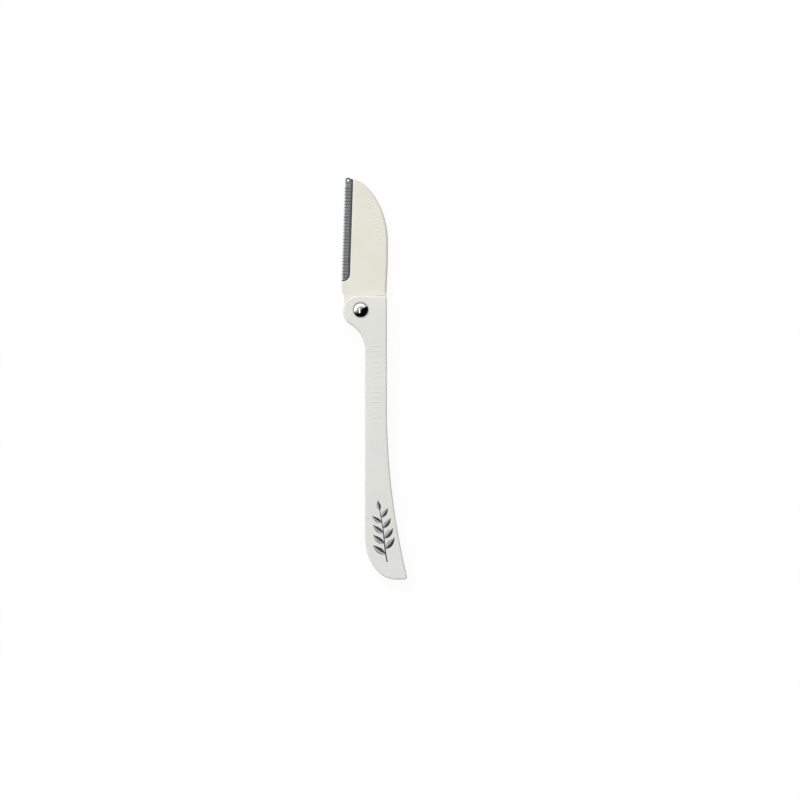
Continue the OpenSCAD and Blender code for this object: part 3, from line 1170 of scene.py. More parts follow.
@dataclass(frozen=True)
class Rivet:
    """Two-piece rivet: a domed head on a pin, and a flanged tube that takes the pin."""

    place: Placement
    levels: Levels
    dome_r: float = 3.0
    rim_h: float = 0.25
    rim_round: float = 0.09
    rim_lift: float = 0.03
    lip_lift: float = 0.01
    cap_turn: float = 2.0
    pin_r: float = 1.0
    tube_r: float = 1.5
    tube_bore: float = 0.98
    flange_r: float = 2.8
    flange_t: float = 0.45
    flange_round: float = 0.1
    dish_r: float = 1.7
    dish_round: float = 0.35
    dish_depth: float = 0.09
    bore_gap: float = 0.05
    steps: int = 128
    bore_steps: int = 96
    dome_crease: float = 50.0
    socket_crease: float = 40.0

    @property
    def bore_r(self) -> float:
        """Radius of the bores that the tube passes through."""
        return self.tube_r + self.bore_gap

    def bore(self, name: str, low: float, high: float, seated: bool = False) -> bpy.types.Object:
        """Turns the cutter of a bore, and if asked for, of the flange's seat in the back face.

        Args:
            name: Name of the cutter.
            low: Height of the back face that it starts from.
            high: Height of the front face that it passes through.
            seated: Whether the flange has a seat there.

        Returns:
            The cutter, which reaches past both faces.
        """
        start, end = low - OVERRUN, high + OVERRUN
        foot = [[self.bore_r, start]]
        if seated:
            seat_r, seat_high = self.flange_r + self.bore_gap, self.levels.flange_low + self.flange_t
            foot = [[seat_r, start], [seat_r, seat_high], [self.bore_r, seat_high]]
        profile = np.array([[0.0, start], *foot, [self.bore_r, end], [0.0, end]])
        return revolve(profile, self.bore_steps).build(name, self.place)

    def build_stud(self) -> bpy.types.Object:
        """Turns the stud: pin, underside, rounded rim and a spherical cap.

        Returns:
            The domed head with its pin.
        """
        front, top, pin_low = self.levels.front, self.levels.dome_high, self.levels.pin_low
        cap_h = top - front - self.rim_h
        cap_r = (self.dome_r ** 2 + cap_h ** 2) / (2 * cap_h)
        edge_a = math.degrees(math.acos(self.dome_r / cap_r))
        cap = arc([0.0, top - cap_r], cap_r, edge_a + self.cap_turn, 90, steps=40)
        cap[-1, 0] = 0.0
        rim_top, inner_r = front + self.rim_h, self.dome_r - self.rim_round / 3
        rim = np.array([
            [self.dome_r - self.rim_round, front], [inner_r, front + self.rim_lift],
            [self.dome_r, front + self.rim_round], [self.dome_r, rim_top - self.rim_round],
            [inner_r, rim_top + self.lip_lift],
        ])
        pin = np.array([[0.0, pin_low], [self.pin_r, pin_low], [self.pin_r, front]])
        stud = revolve(np.vstack([pin, rim, cap]), self.steps).build("rivet_dome", self.place)
        stud.data.set_sharp_from_angle(angle=math.radians(self.dome_crease))
        return stud

    def build_socket(self) -> bpy.types.Object:
        """Turns the socket: a dished flange and the tube that the carrier turns on.

        Returns:
            The flanged tube.
        """
        low, top = self.levels.flange_low, self.levels.tube_high
        high, dish_high = low + self.flange_t, low + self.dish_depth
        rim_c = [self.flange_r - self.flange_round, low + self.flange_round]
        rim = arc(rim_c, self.flange_round, 270, 360, steps=5)
        dish = arc([self.dish_r, dish_high], (self.dish_round, self.dish_depth), 180, 270, steps=5)
        tube = np.array([
            [self.flange_r, high], [self.tube_r, high], [self.tube_r, top], [self.tube_bore, top],
            [self.tube_bore, high], [0.0, high],
        ])
        profile = np.vstack([[[0.0, dish_high]], dish, rim, tube])
        socket = revolve(profile, self.steps).build("rivet_tube", self.place)
        socket.data.set_sharp_from_angle(angle=math.radians(self.socket_crease))
        return socket


@dataclass(frozen=True)
class Handle:
    """Slotted handle: a round lobe for the rivet, a hollow neck, a bent grip and a flared foot."""

    place: Placement
    levels: Levels
    rivet: Rivet
    reach: float = 100.7
    back_x: float = 9.8
    belly_x: float = 1.6
    bend_start: float = 36.0
    bend_r: float = 272.0
    foot_w: float = 11.6
    foot_h: float = 16.2
    tip_r: float = 1.1
    crown_r: float = 0.9
    edge_r: float = 0.6
    lobe_r: float = 5.7
    lobe_left: float = 0.9
    lobe_down: float = 0.6
    neck_r: float = 11.0
    slot_tang_x: float = 6.35
    slot_land_x: float = 7.25
    slot_pocket_x: float = 7.8
    slot_land_top: float = -4.9
    slot_land_low: float = -9.99
    slot_end_y: float = -51.02
    rib_length: float = 3.8
    rib_count: int = 15
    rib_pitch: float = 1.9
    rib_start: float = 13.6
    spacing: float = 0.2
    broken_edge: float = 0.12

    @property
    def top_y(self) -> float:
        """Height of the handle's top edge above the rivet."""
        return self.lobe_r - self.lobe_down

    def stretches(self) -> list[Points]:
        """Draws the outline in three stretches that meet where the slot leaves it.

        Returns:
            From the crown to the slot, along the slot's mouth, and round the foot back to the crown.
        """
        lobe_c = np.array([-self.lobe_left, -self.lobe_down])
        neck_x = self.belly_x - self.neck_r
        rise = math.sqrt((self.neck_r + self.lobe_r) ** 2 - (neck_x - lobe_c[0]) ** 2)
        neck_c = np.array([neck_x, lobe_c[1] - rise])
        neck_a = turn(lobe_c - neck_c)
        foot_c = np.array([self.belly_x + self.foot_w, self.foot_h - self.reach])
        bend_c = np.array([self.back_x + self.bend_r, -self.bend_start])
        tip_y = self.tip_r - self.reach
        run = math.sqrt((self.bend_r + self.tip_r) ** 2 - (tip_y - bend_c[1]) ** 2)
        tip_c = np.array([bend_c[0] - run, tip_y])
        tip_a = turn(bend_c - tip_c)
        crown_c = [self.back_x - self.crown_r, self.top_y - self.crown_r]
        crown = arc(crown_c, self.crown_r, 0, 90, steps=16)
        lobe = arc(lobe_c, self.lobe_r, 90, 180 + neck_a, steps=120)
        neck = arc(neck_c, self.neck_r, neck_a, 0, steps=90)[1:]
        foot = arc(foot_c, (self.foot_w, self.foot_h), 180, 270, steps=160)
        tip = arc(tip_c, self.tip_r, 270, 360 + tip_a, steps=24)
        bend = arc(bend_c, self.bend_r, 180 + tip_a, 180, steps=60)[1:]
        mouth_top, mouth_end = [self.slot_tang_x, self.top_y], [self.belly_x, self.slot_end_y]
        return [
            np.vstack([crown, [mouth_top]]),
            np.vstack([[mouth_top], lobe, neck, [mouth_end]]),
            np.vstack([[mouth_end], foot, tip, bend, crown[:1]]),
        ]

    def slotted_plate(self) -> Shape:
        """Carries the outline over rings, leaves the slot's mouth open and closes the slot behind it.

        Returns:
            The closed shape: sides with the mouth left open, the outer and inner faces, and the slot's wall.
        """
        parts = [resample(part, self.spacing)[:-1] for part in self.stretches()]
        outline = np.vstack(parts)
        count, first = len(outline), len(parts[0])
        last = first + len(parts[1])
        low, high = self.levels.slot_low, self.levels.slot_high
        rings = plate_rings(0.0, self.levels.front, self.edge_r, (low, high))
        low_ring = int(np.flatnonzero(np.isclose(rings[:, 1], low))[0])
        keep = np.ones((len(rings) - 1, count), bool)
        keep[low_ring, first:last] = False
        wall = np.array([
            [self.slot_pocket_x, self.slot_end_y], [self.slot_pocket_x, self.slot_land_low],
            [self.slot_land_x, self.slot_land_low], [self.slot_land_x, self.slot_land_top],
            [self.slot_tang_x, self.slot_land_top],
        ])
        points = ring_points(outline, rings).reshape(-1, 3)
        levels = np.repeat([[low], [high]], len(wall), axis=1).reshape(-1, 1)
        points = np.vstack([points, np.hstack([np.tile(wall, (2, 1)), levels])])
        below, above = low_ring * count, (low_ring + 1) * count
        start = len(rings) * count
        floor_wall = [below + last, *range(start, start + len(wall)), below + first]
        roof_wall = [above + last, *range(start + len(wall), start + 2 * len(wall)), above + first]
        faces = quads(len(rings), count, wrap=True, keep=keep)
        faces += [list(range(count))[::-1], list(range((len(rings) - 1) * count, len(rings) * count))]
        faces.append(list(range(below + first, below + last)) + floor_wall[:-1])
        faces.append((list(range(above + first, above + last)) + roof_wall[:-1])[::-1])
        posts = list(zip(floor_wall, roof_wall))
        faces += [[*post, *after[::-1]] for post, after in zip(posts, posts[1:])]
        return Shape(points, faces)

    def ribs(self) -> Shape:
        """Makes the grip ribs down the middle of the grip.

        Returns:
            The ribs, square to the grip.
        """
        heights = -self.rib_start - np.arange(self.rib_count) * self.rib_pitch
        centres = np.stack([np.full(self.rib_count, (self.back_x + self.belly_x) / 2), heights], axis=-1)
        return Ribs(centres, np.zeros(self.rib_count), self.rib_length, self.levels.front).shape()

    def build(self) -> bpy.types.Object:
        """Builds the handle's body.

        Returns:
            The slotted and bored handle with its ribs.
        """
        body = self.slotted_plate().build("handle_body", self.place)
        combine(body, self.rivet.bore("rivet_bore", 0.0, self.levels.front, seated=True), Combine.CUT)
        combine(body, self.ribs().build("grip_ribs", self.place), Combine.ADD)
        finish_edges(body, self.broken_edge, 3)
        return body


@dataclass(frozen=True)
class Carrier:
    """Blade carrier: curved back, chin, narrow neck and round tang, with a slit that holds the blade."""

    place: Placement
    levels: Levels
    edge: EdgeFrame
    sizes: BladeSizes
    rivet: Rivet
    thickness: float = 2.0
    tang_r: float = 6.1
    shoulder_x: float = 9.6
    shoulder_y: float = 5.16
    spine_x: float = 10.2
    spine_low: float = 18.4
    spine_high: float = 25.0
    spine_pull_share: float = 0.62
    nose_y: float = 48.8
    nose_pull_share: float = 0.32
    chin_x: float = 7.1
    chin_low: float = 6.9
    chin_r: float = 0.6
    neck_high: float = 5.4
    edge_r: float = 0.95
    front_edge_share: float = 0.6
    shoulder_edge_share: float = 0.15
    edge_fade: float = 1.6
    rib_length: float = 2.2
    rib_count: int = 14
    rib_in: float = 3.2
    rib_from_share: float = 0.0
    rib_to_share: float = 0.5
    spacing: float = 0.1
    corner_reaches: tuple[float, ...] = (0.9, 0.8, 0.3, 0.35, 0.6)
    corner_window: float = 0.3
    broken_edge: float = 0.05
    peg_steps: int = 48

    def spine(self) -> Points:
        """Draws the curved back as one cubic curve from its straight part to the nose.

        Returns:
            Its four control points.
        """
        tilt = math.radians(self.edge.tilt)
        nose_v = (self.nose_y - self.edge.edge_y + self.sizes.guard_w * math.sin(tilt)) / math.cos(tilt)
        nose = self.edge.plan(self.sizes.guard_w, nose_v)
        return np.array([
            [self.spine_x, self.spine_high],
            [self.spine_x, self.spine_high + self.spine_pull_share * (self.nose_y - self.spine_high)],
            [nose[0] + self.nose_pull_share * (self.spine_x - nose[0]), self.nose_y],
            nose,
        ])

    def outline(self) -> Points:
        """Draws the outline: the guard's recess and the chin, a step, the tang, the shoulder and the back.

        Returns:
            The outline with its five corners rounded.
        """
        recess_r = self.sizes.recess_r
        recess = self.edge.plan(self.sizes.guard_w - recess_r, recess_r)
        drop = math.sqrt((recess_r + self.chin_r) ** 2 - (recess[0] + self.chin_x - self.chin_r) ** 2)
        chin = np.array([self.chin_r - self.chin_x, recess[1] - drop])
        chin_a = turn(chin - recess)
        chin_low, neck = [-self.chin_x, self.chin_low], [-self.tang_r, self.neck_high]
        inner, outer = [self.tang_r, self.shoulder_y], [self.shoulder_x, self.shoulder_y]
        hollow = arc(recess, recess_r, -self.edge.tilt, chin_a, steps=60)
        bulge = arc(chin, self.chin_r, 180 + chin_a, 180, steps=24)[1:]
        front = np.vstack([self.spine()[-1:], hollow, bulge, [chin_low]])
        tang = np.vstack([[neck], arc([0.0, 0.0], self.tang_r, 180, 360, steps=140), [inner]])
        curve = cubic(self.spine(), np.linspace(0, 1, num=200))
        back = np.vstack([[outer, [self.spine_x, self.spine_low]], curve])
        stretches = [front, np.array([chin_low, neck]), tang, np.array([inner, outer]), back]
        return soften(blended(stretches, self.corner_reaches), self.spacing, self.corner_window)

    def edge_limit(self, outline: Points) -> Points:
        """Share of the rounded edge's reach that each point gets: all on the curved back, and less elsewhere.

        It rises by a smooth step from the front to the back, and falls by the product of two on the shoulder,
        which stands on the handle.

        Args:
            outline: Points of the outline.

        Returns:
            The share for each point.
        """
        x, y = outline.T
        ramps = np.stack([x, x - self.tang_r, self.shoulder_y - y]) / self.edge_fade + [[0], [1], [1]]
        ramps = ramps.clip(0, 1)
        back, right, low = ramps ** 2 * (3 - 2 * ramps)
        share = self.front_edge_share + (1 - self.front_edge_share) * back
        return share + (self.shoulder_edge_share - share) * right * low

    def ribs(self) -> Shape:
        """Makes the thumb ribs, square to the curved back and a little inside it.

        Returns:
            The ribs.
        """
        shares = np.linspace(self.rib_from_share, self.rib_to_share, self.rib_count)
        along = cubic(self.spine(), shares + SLOPE_STEP) - cubic(self.spine(), shares - SLOPE_STEP)
        along /= np.linalg.norm(along, axis=1, keepdims=True)
        across = np.stack([along[:, 1], -along[:, 0]], axis=-1)
        centres = cubic(self.spine(), shares) - self.rib_in * across
        surface = self.levels.carrier_low + self.thickness
        return Ribs(centres, turn(across), self.rib_length, surface).shape()

    def bar(self, corners: list[tuple[float, float]], thickness: float) -> Shape:
        """Extrudes corners given in u and v, about the blade's middle.

        Args:
            corners: Corners of the bar, counter-clockwise.
            thickness: Its thickness.

        Returns:
            The closed bar.
        """
        outline = self.edge.plan(*np.array(corners).T)
        middle = self.levels.middle
        rings = np.array([[0.0, middle - thickness / 2], [0.0, middle + thickness / 2]])
        return plate(outline, rings)

    def slit(self) -> bpy.types.Object:
        """Builds the cutter of the slit, with the pegs left standing in it.

        Returns:
            The cutter.
        """
        s, gap = self.sizes, self.sizes.insert_gap
        middle, half, out = self.levels.middle, self.sizes.guard_t, -self.sizes.nose_out - OVERRUN
        back, top, leg_end, leg_top = s.blade_w + gap, s.blade_l + gap, s.leg_end + gap, s.leg_top + gap
        clipped = [(back, s.blade_l - s.blade_clip), (s.blade_w - s.blade_clip, top)]
        blade = self.bar([(-gap, 0.0), (back, 0.0), *clipped, (-gap, top)], s.blade_t + 2 * gap)
        leg_corners = [(out, -gap), (leg_end, -gap), (leg_end, leg_top), (out, leg_top)]
        legs = self.bar(leg_corners, s.guard_t + 2 * gap)
        cutter = blade.build("blade_slit", self.place)
        combine(cutter, legs.build("leg_slit", self.place), Combine.ADD)
        low, high = middle - half, middle + half
        profile = np.array([[0.0, low], [s.peg_d / 2, low], [s.peg_d / 2, high], [0.0, high]])
        for v in np.linspace(s.peg_low, s.blade_l - s.peg_top_in, s.peg_count):
            peg = revolve(profile, self.peg_steps, axis=tuple(self.edge.plan(s.peg_u, v)))
            combine(cutter, peg.build("peg", self.place), Combine.CUT)
        return cutter

    def build(self) -> bpy.types.Object:
        """Builds the carrier's body.

        Returns:
            The slit and bored carrier with its ribs.
        """
        low, high, outline = self.levels.carrier_low, self.levels.carrier_low + self.thickness, self.outline()
        rings = plate_rings(low, high, self.edge_r)
        body = plate(outline, rings, self.edge_limit(outline)).build("carrier_body", self.place)
        combine(body, self.slit(), Combine.CUT)
        combine(body, self.rivet.bore("tang_bore", low, high), Combine.CUT)
        combine(body, self.ribs().build("thumb_ribs", self.place), Combine.ADD)
        finish_edges(body, self.broken_edge, 2)
        return body


@dataclass(frozen=True)
class CombGuard:
    """Guard of thin steel folded over the cutting edge: comb slots, a window and a crimped, pinched lug.

    The crimp's profile is given by shares of its radius and the depths there under its rim.
    """

    place: Placement
    levels: Levels
    edge: EdgeFrame
    sizes: BladeSizes
    comb_pitch: float = 1.19
    tooth_w: float = 0.4
    comb_count: int = 29
    comb_low: float = 0.5
    comb_short: float = 1.0
    slot_corner: float = 0.14
    slot_shares: tuple[float, ...] = (0.0, 0.33, 0.67)
    lug_shares: tuple[float, ...] = (0.4, 0.7, 1.0)
    crimp_r: float = 0.45
    crimp_out: float = 0.08
    crimp_shares: tuple[float, ...] = (0.0, 0.3, 0.55, 0.75, 0.92)
    crimp_sunk: tuple[float, ...] = (0.06, 0.05, 0.01, 0.0, 0.02)
    pinch_gap: float = 0.01
    pinch_run: float = 0.45
    broken_edge: float = 0.03
    slot_steps: int = 3
    flank_steps: int = 6
    corner_steps: int = 5
    cap_steps: int = 8
    fold_steps: int = 12
    crimp_steps: int = 40

    def slot_reach(self, v: Points) -> Points:
        """Far end of a slot: a border's width inside the strip, and inside the recess's round corner below.

        Args:
            v: Distances along the cutting edge.

        Returns:
            The distance from the cutting edge at which the slot ends.
        """
        s = self.sizes
        inner = s.recess_r - s.border_w
        round_end = s.guard_w - s.recess_r + np.sqrt(np.maximum(0, inner ** 2 - (s.recess_r - v) ** 2))
        return np.where(v > s.recess_r, s.guard_w - s.border_w, np.maximum(self.comb_short, round_end))

    def rows(self) -> tuple[Points, Points, NDArray[np.bool_]]:
        """Works out the rows of the sheet along the cutting edge.

        Returns:
            Each row's v, the slots' far end there, and whether the cells above the row are an open slot.
        """
        s = self.sizes
        corner = self.slot_corner
        turns = np.radians(np.linspace(0, 90, self.slot_steps + 1))
        low_in, low_cut = corner * (1 - np.cos(turns)), corner * (1 - np.sin(turns))
        slot_w = self.comb_pitch - self.tooth_w
        inside = np.concatenate([low_in, slot_w - low_in[::-1]])
        cut = np.concatenate([low_cut, low_cut[::-1]])
        lows = self.comb_low + np.arange(self.comb_count) * self.comb_pitch
        v = (lows[:, None] + inside[None]).ravel()
        reach = (self.slot_reach(lows + slot_w / 2)[:, None] - cut[None]).ravel()
        slotted = np.tile(np.arange(len(inside)) < len(inside) - 1, self.comb_count)
        window_low, full = self.comb_low + self.comb_count * self.comb_pitch, s.guard_w - s.border_w
        window = np.concatenate([window_low + low_in, s.leg_top - low_in[::-1]])
        flank = np.linspace(s.leg_top, s.lug_v, self.flank_steps + 1)[1:]
        corner_turns = np.radians(np.linspace(0, 90, self.corner_steps + 1))
        round_top = s.band_top - s.band_corner_r * (1 - np.sin(corner_turns))
        shoulder_a = math.degrees(math.asin(s.band_rise / s.lug_r))
        cap_turns = np.radians(np.linspace(shoulder_a, 90, self.cap_steps + 1)[1:])
        cap = s.lug_v + s.lug_r * np.sin(cap_turns)
        top = np.concatenate([flank, round_top, cap])
        v = np.concatenate([[0.0], v, window, top])
        reach = np.concatenate([reach[:1], reach, full - cut, np.full(len(top), full)])
        slotted = np.concatenate([[False], slotted, np.arange(len(window)) < len(window) - 1,
                                  np.zeros(len(top), bool)])
        return v, reach, slotted

    def legs(self, v: Points) -> Points:
        """Stations of the legs and of the band's edge, which is rounded as a circle at its shoulder.

        Args:
            v: Rows along the cutting edge.

        Returns:
            Three distances from the cutting edge for each row.
        """
        s = self.sizes
        band = s.guard_w - s.insert_gap
        shoulder = np.clip((v - s.band_top) / s.band_corner_r + 1, 0, 1)
        flank = band - s.band_corner_r * (1 - np.sqrt(1 - shoulder ** 2))
        return np.stack([np.full(len(v), s.leg_end), np.full(len(v), (s.leg_end + band) / 2), flank], axis=-1)

    def leaf(self, v: Points, reach: Points, nose_u: float) -> Points:
        """Stations of a leaf from the band to the nose, or from side to side on the lug.

        The lug's sides are a circle above its middle. Below it the left one runs straight to the nose.

        Args:
            v: Rows along the cutting edge.
            reach: The slots' far end in each row.
            nose_u: Distance from the cutting edge at which the sheet starts to turn.

        Returns:
            Five distances from the cutting edge for each row.
        """
        s = self.sizes
        wide, full = 2 * s.lug_r, s.guard_w - s.border_w
        half = s.lug_r * np.sqrt(1 - np.clip((v - s.lug_v) / s.lug_r, 0, 1) ** 2)
        flank = np.where(v > s.leg_top, nose_u * (s.lug_v - v) / s.lug_r, nose_u)
        right = np.where(v > s.lug_v, s.lug_r + half, wide)
        left = np.where(v > s.lug_v, s.lug_r - half, flank)
        shares = np.array([0.0, (wide - full) / (wide - nose_u), *self.lug_shares])
        lug = right[:, None] + (left - right)[:, None] * shares
        comb = reach[:, None] + (nose_u - reach)[:, None] * np.array(self.slot_shares)
        lug[:, 1:4] = np.where((v > s.leg_top)[:, None], lug[:, 1:4], comb)
        return lug

    def kept(self, v: Points, slotted: NDArray[np.bool_], columns: int) -> NDArray[np.bool_]:
        """Marks the cells of the sheet that are metal.

        Counted from either end of a row, the cells are two of the leg, one of the band, one of the border and
        the comb's, up to the fold.

        Args:
            v: Rows along the cutting edge.
            slotted: Whether the cells above each row are an open slot.
            columns: Number of stations in a row.

        Returns:
            A mask of rows by cells, without slots, legs and fold beside the lug, and band above its own top.
        """
        leg, band, border = 2, 3, 4
        cell = np.arange(columns - 1)
        from_end = np.minimum(cell, columns - 2 - cell)
        above_legs = (v >= self.sizes.leg_top - MERGED)[:-1, None]
        above_band = (v >= self.sizes.band_top - MERGED)[:-1, None]
        folded = from_end >= (columns - self.fold_steps) // 2
        keep = ~(slotted[:-1, None] & (from_end >= border))
        keep &= ~(above_legs & ((from_end < leg) | folded))
        return keep & ~(above_band & (from_end < band))

    def sheet(self) -> Shape:
        """Bends the sheet: rows along the cutting edge by stations from the back leg round to the front one.

        The fold is half a circle about the nose. From the blade's end on, the two leaves come together by a
        smooth step.

        Returns:
            The outer skin of the folded sheet, with only the cells that are metal.
        """
        s = self.sizes
        v, reach, slotted = self.rows()
        half, nose_u = s.guard_t / 2, s.guard_t / 2 - s.nose_out
        leaf = np.concatenate([self.legs(v), self.leaf(v, reach, nose_u)], axis=1)
        angles = np.radians(np.linspace(270, 90, self.fold_steps + 1)[1:-1])
        fold = leaf[:, -1:] + half * np.cos(angles)
        pinch = np.clip((v - s.blade_l) / self.pinch_run, 0, 1)
        out = half + (s.sheet_t + self.pinch_gap - half) * pinch ** 2 * (3 - 2 * pinch)
        side = np.broadcast_to(out[:, None], leaf.shape)
        across = np.concatenate([leaf, fold, leaf[:, ::-1]], axis=1)
        height = np.concatenate([-side, out[:, None] * np.sin(angles), side], axis=1)
        along = np.broadcast_to(v[:, None], across.shape)
        points = self.edge.solid(np.stack([across, along, height], axis=-1), self.levels.middle)
        rows, columns = across.shape
        return Shape(points, quads(rows, columns, wrap=False, keep=self.kept(v, slotted, columns)))

    def crimp(self) -> Shape:
        """Turns the crimp through both leaves of the lug: a low rim round a hollow on each side.

        Returns:
            The closed crimp.
        """
        s = self.sizes
        flat = s.sheet_t + self.pinch_gap
        heights = flat + self.crimp_out - np.array(self.crimp_sunk)
        side = np.stack([np.array(self.crimp_shares) * self.crimp_r, heights], axis=-1)
        side = np.vstack([side, [self.crimp_r, flat]])
        profile = np.vstack([side * [1, -1], side[::-1]]) + [0.0, self.levels.middle]
        return revolve(profile, self.crimp_steps, axis=tuple(self.edge.plan(s.lug_r, s.lug_v)))

    def build(self) -> bpy.types.Object:
        """Builds the guard: the skin gets its sheet thickness and broken edges, and takes the crimp.

        Returns:
            The guard.
        """
        guard = self.sheet().build("comb_strip", self.place)
        thicken = guard.modifiers.new("sheet", "SOLIDIFY")
        thicken.thickness = self.sizes.sheet_t * MM
        thicken.offset = -1.0
        thicken.use_even_offset = True
        finish_edges(guard, self.broken_edge, 2)
        combine(guard, self.crimp().build("crimp", self.place), Combine.ADD)
        face_outwards(guard)
        keep_flats(guard)
        return guard


@dataclass(frozen=True)
class Sprig:
    """Stamped foil sprig on the foot: a bowed stem and pointed leaves with a pressed midrib.

    The foil's section is given by shares of its half width and of its thickness, without the crease.
    """

    place: Placement
    levels: Levels
    handle: Handle
    low: float = 6.6
    height: float = 19.5
    stem_w: float = 0.45
    leaf_l: float = 6.4
    leaf_w: float = 2.3
    leaf_pairs: int = 4
    leaf_spread: float = 46.0
    bow: float = 0.8
    taper_share: float = 0.35
    stagger_share: float = 0.25
    root_share: float = 1.25
    stem_taper_share: float = 0.7
    leaf_curl: float = 0.35
    leaf_end_share: float = 0.004
    belly_power: float = 0.85
    crease_share: float = 0.75
    sunk: float = 0.02
    stem_points: int = 40
    leaf_points: int = 28
    across_shares: tuple[float, ...] = (-1.0, -0.94, -0.6, -0.12, 0.0, 0.12, 0.6, 0.94, 1.0)
    rise_shares: tuple[float, ...] = (0.0, 0.6, 0.95, 1.0, 1.0, 1.0, 0.95, 0.6, 0.0)

    def middle(self, y: Points) -> Points:
        """Middle between the foot's bent back edge and its elliptic belly edge.

        Args:
            y: Heights from the rivet.

        Returns:
            The middle's distance from the rivet at each height.
        """
        h = self.handle
        back = h.back_x + h.bend_r - np.sqrt(h.bend_r ** 2 - np.minimum(0, y + h.bend_start) ** 2)
        fall = np.minimum(0, y - (h.foot_h - h.reach)) / h.foot_h
        belly = h.belly_x + h.foot_w * (1 - np.sqrt(1 - fall ** 2))
        return (back + belly) / 2

    def stem_at(self, share: Points) -> Points:
        """Points of the stem: the middle of the foot, bowed by a half wave of the sine."""
        y = -self.handle.reach + self.low + self.height * share
        return np.stack([self.middle(y) + self.bow * np.sin(np.pi * share), y], axis=-1)

    def stem_turn(self, share: Points) -> Points:
        """Direction of the stem in degrees."""
        return turn(self.stem_at(share + SLOPE_STEP) - self.stem_at(share - SLOPE_STEP))

    def ribbon(self, middle: Points, across: Points, half: Points, crease: float, dark: float) -> Shape:
        """Closed strip of foil: rounded across, with a crease down its middle.

        Args:
            middle: Points of its middle line, with strips first.
            across: Unit vectors to its left.
            half: Half width at each point.
            crease: Depth of the middle crease, as a share of the thickness.
            dark: How dark the strip is all over, from 0 to 1.

        Returns:
            The strips, with a flat underside. A point's place is its share across, its share along and its
            strip's darkness.
        """
        low, high = self.levels.front, self.levels.foil_high
        side = np.array(self.across_shares)
        rise = np.where(side == 0, 1.0 - crease, self.rise_shares)
        strips, length = middle.shape[:2]
        flat = middle[:, :, None] + across[:, :, None] * (half[:, :, None] * side)[..., None]
        top = np.broadcast_to(low + (high - low) * rise, (strips, length, len(side)))
        upper = np.concatenate([flat, top[..., None]], axis=-1)
        lower = np.concatenate([flat[:, :, :1], flat[:, :, -1:]], axis=2)
        lower = np.concatenate([lower, np.full((*lower.shape[:3], 1), low - self.sunk)], axis=-1)
        points = np.concatenate([upper, lower[:, :, ::-1]], axis=2)
        width = points.shape[2]
        cells = np.array(quads(length, width, wrap=True))[:, ::-1]
        ends = np.array([list(range(width))[::-1], list(range((length - 1) * width, length * width))])
        base = np.arange(strips) * length * width
        faces = (base[:, None, None] + cells[None]).reshape(-1, 4).tolist()
        faces += (base[:, None, None] + ends[None]).reshape(-1, width).tolist()
        place = np.zeros((*points.shape[:3], 3))
        place[..., 0] = np.append(side, [1.0, -1.0])
        place[..., 1] = np.linspace(0, 1, length)[None, :, None]
        place[..., 2] = dark
        return Shape(points, faces, place)

    def build(self) -> bpy.types.Object:
        """Builds the stem and all leaves.

        Returns:
            The sprig. Its attribute "strip_place" holds the place across and along each leaf.
        """
        run = np.linspace(0, 1, self.stem_points)
        turns = np.radians(self.stem_turn(run))
        left = np.stack([-np.sin(turns), np.cos(turns)], axis=-1)
        half = self.stem_w / 2 * np.clip(self.root_share - run * self.stem_taper_share, 0, 1)
        stem = self.ribbon(self.stem_at(run)[None], left[None], half[None], 0.0, 1.0)
        order = np.repeat(np.arange(1, self.leaf_pairs + 1), 2)
        side = np.tile([-1.0, 1.0], self.leaf_pairs)
        pairs = (order - side * self.stagger_share) / (self.leaf_pairs + 1)
        shares, side = np.append(pairs, 1 - self.stem_w / self.height), np.append(side, 0.0)
        angles = np.radians(self.stem_turn(shares) + side * self.leaf_spread)[:, None]
        length = self.leaf_l * (1 - self.taper_share * shares)[:, None]
        t = np.linspace(self.leaf_end_share, 1 - self.leaf_end_share, self.leaf_points)[None]
        bend = angles + self.leaf_curl * side[:, None] * (0.5 - t)
        step = np.stack([np.cos(bend), np.sin(bend)], axis=-1) * (length / t.shape[1])[..., None]
        start = self.stem_at(shares)[:, None]
        middle = start + np.cumsum(step, axis=1) - step
        across = np.stack([-np.sin(bend), np.cos(bend)], axis=-1)
        half = self.leaf_w / 2 * length / self.leaf_l * np.sin(np.pi * t ** self.belly_power)
        leaves = self.ribbon(middle, across, half, self.crease_share, 0.0)
        return stem.joined(leaves).build("foil_leaves", self.place)


@dataclass(frozen=True)
class Lamp:
    """Rectangular studio lamp that points at the razor."""

    name: str
    azimuth: float
    elevation: float
    distance: float
    size: tuple[float, float]
    radiance: float

    def build(self) -> None:
        """Places the lamp on a sphere about the razor and turns it to face its middle."""
        light = bpy.data.lights.new(self.name, "AREA")
        light.shape = "RECTANGLE"
        light.size, light.size_y = self.size
        light.energy = self.radiance * math.pi * self.size[0] * self.size[1]
        lamp = bpy.data.objects.new(self.name, light)
        azimuth, elevation = math.radians(self.azimuth), math.radians(self.elevation)
        level = math.cos(elevation)
        way = Vector((level * math.cos(azimuth), level * math.sin(azimuth), math.sin(elevation)))
        lamp.location = way * self.distance
        lamp.rotation_euler = way.to_track_quat("Z", "Y").to_euler()
        lamp.visible_camera = lamp.visible_glossy = False
        bpy.context.scene.collection.objects.link(lamp)
        log.info("lamp %s at %g degrees", self.name, self.elevation)


@dataclass(frozen=True)
class Border:
    """Soft-edged plane: the dot products with its normal at which none and all of a panel shows."""

    normal: tuple[float, float, float]
    none: float
    full: float

    def share(self, nodes: Nodes, way: Socket) -> Socket:
        """Gives the share of the panel that a direction shows."""
        return nodes.remap(nodes.vector("DOT_PRODUCT", way, self.normal), self.none, self.full)


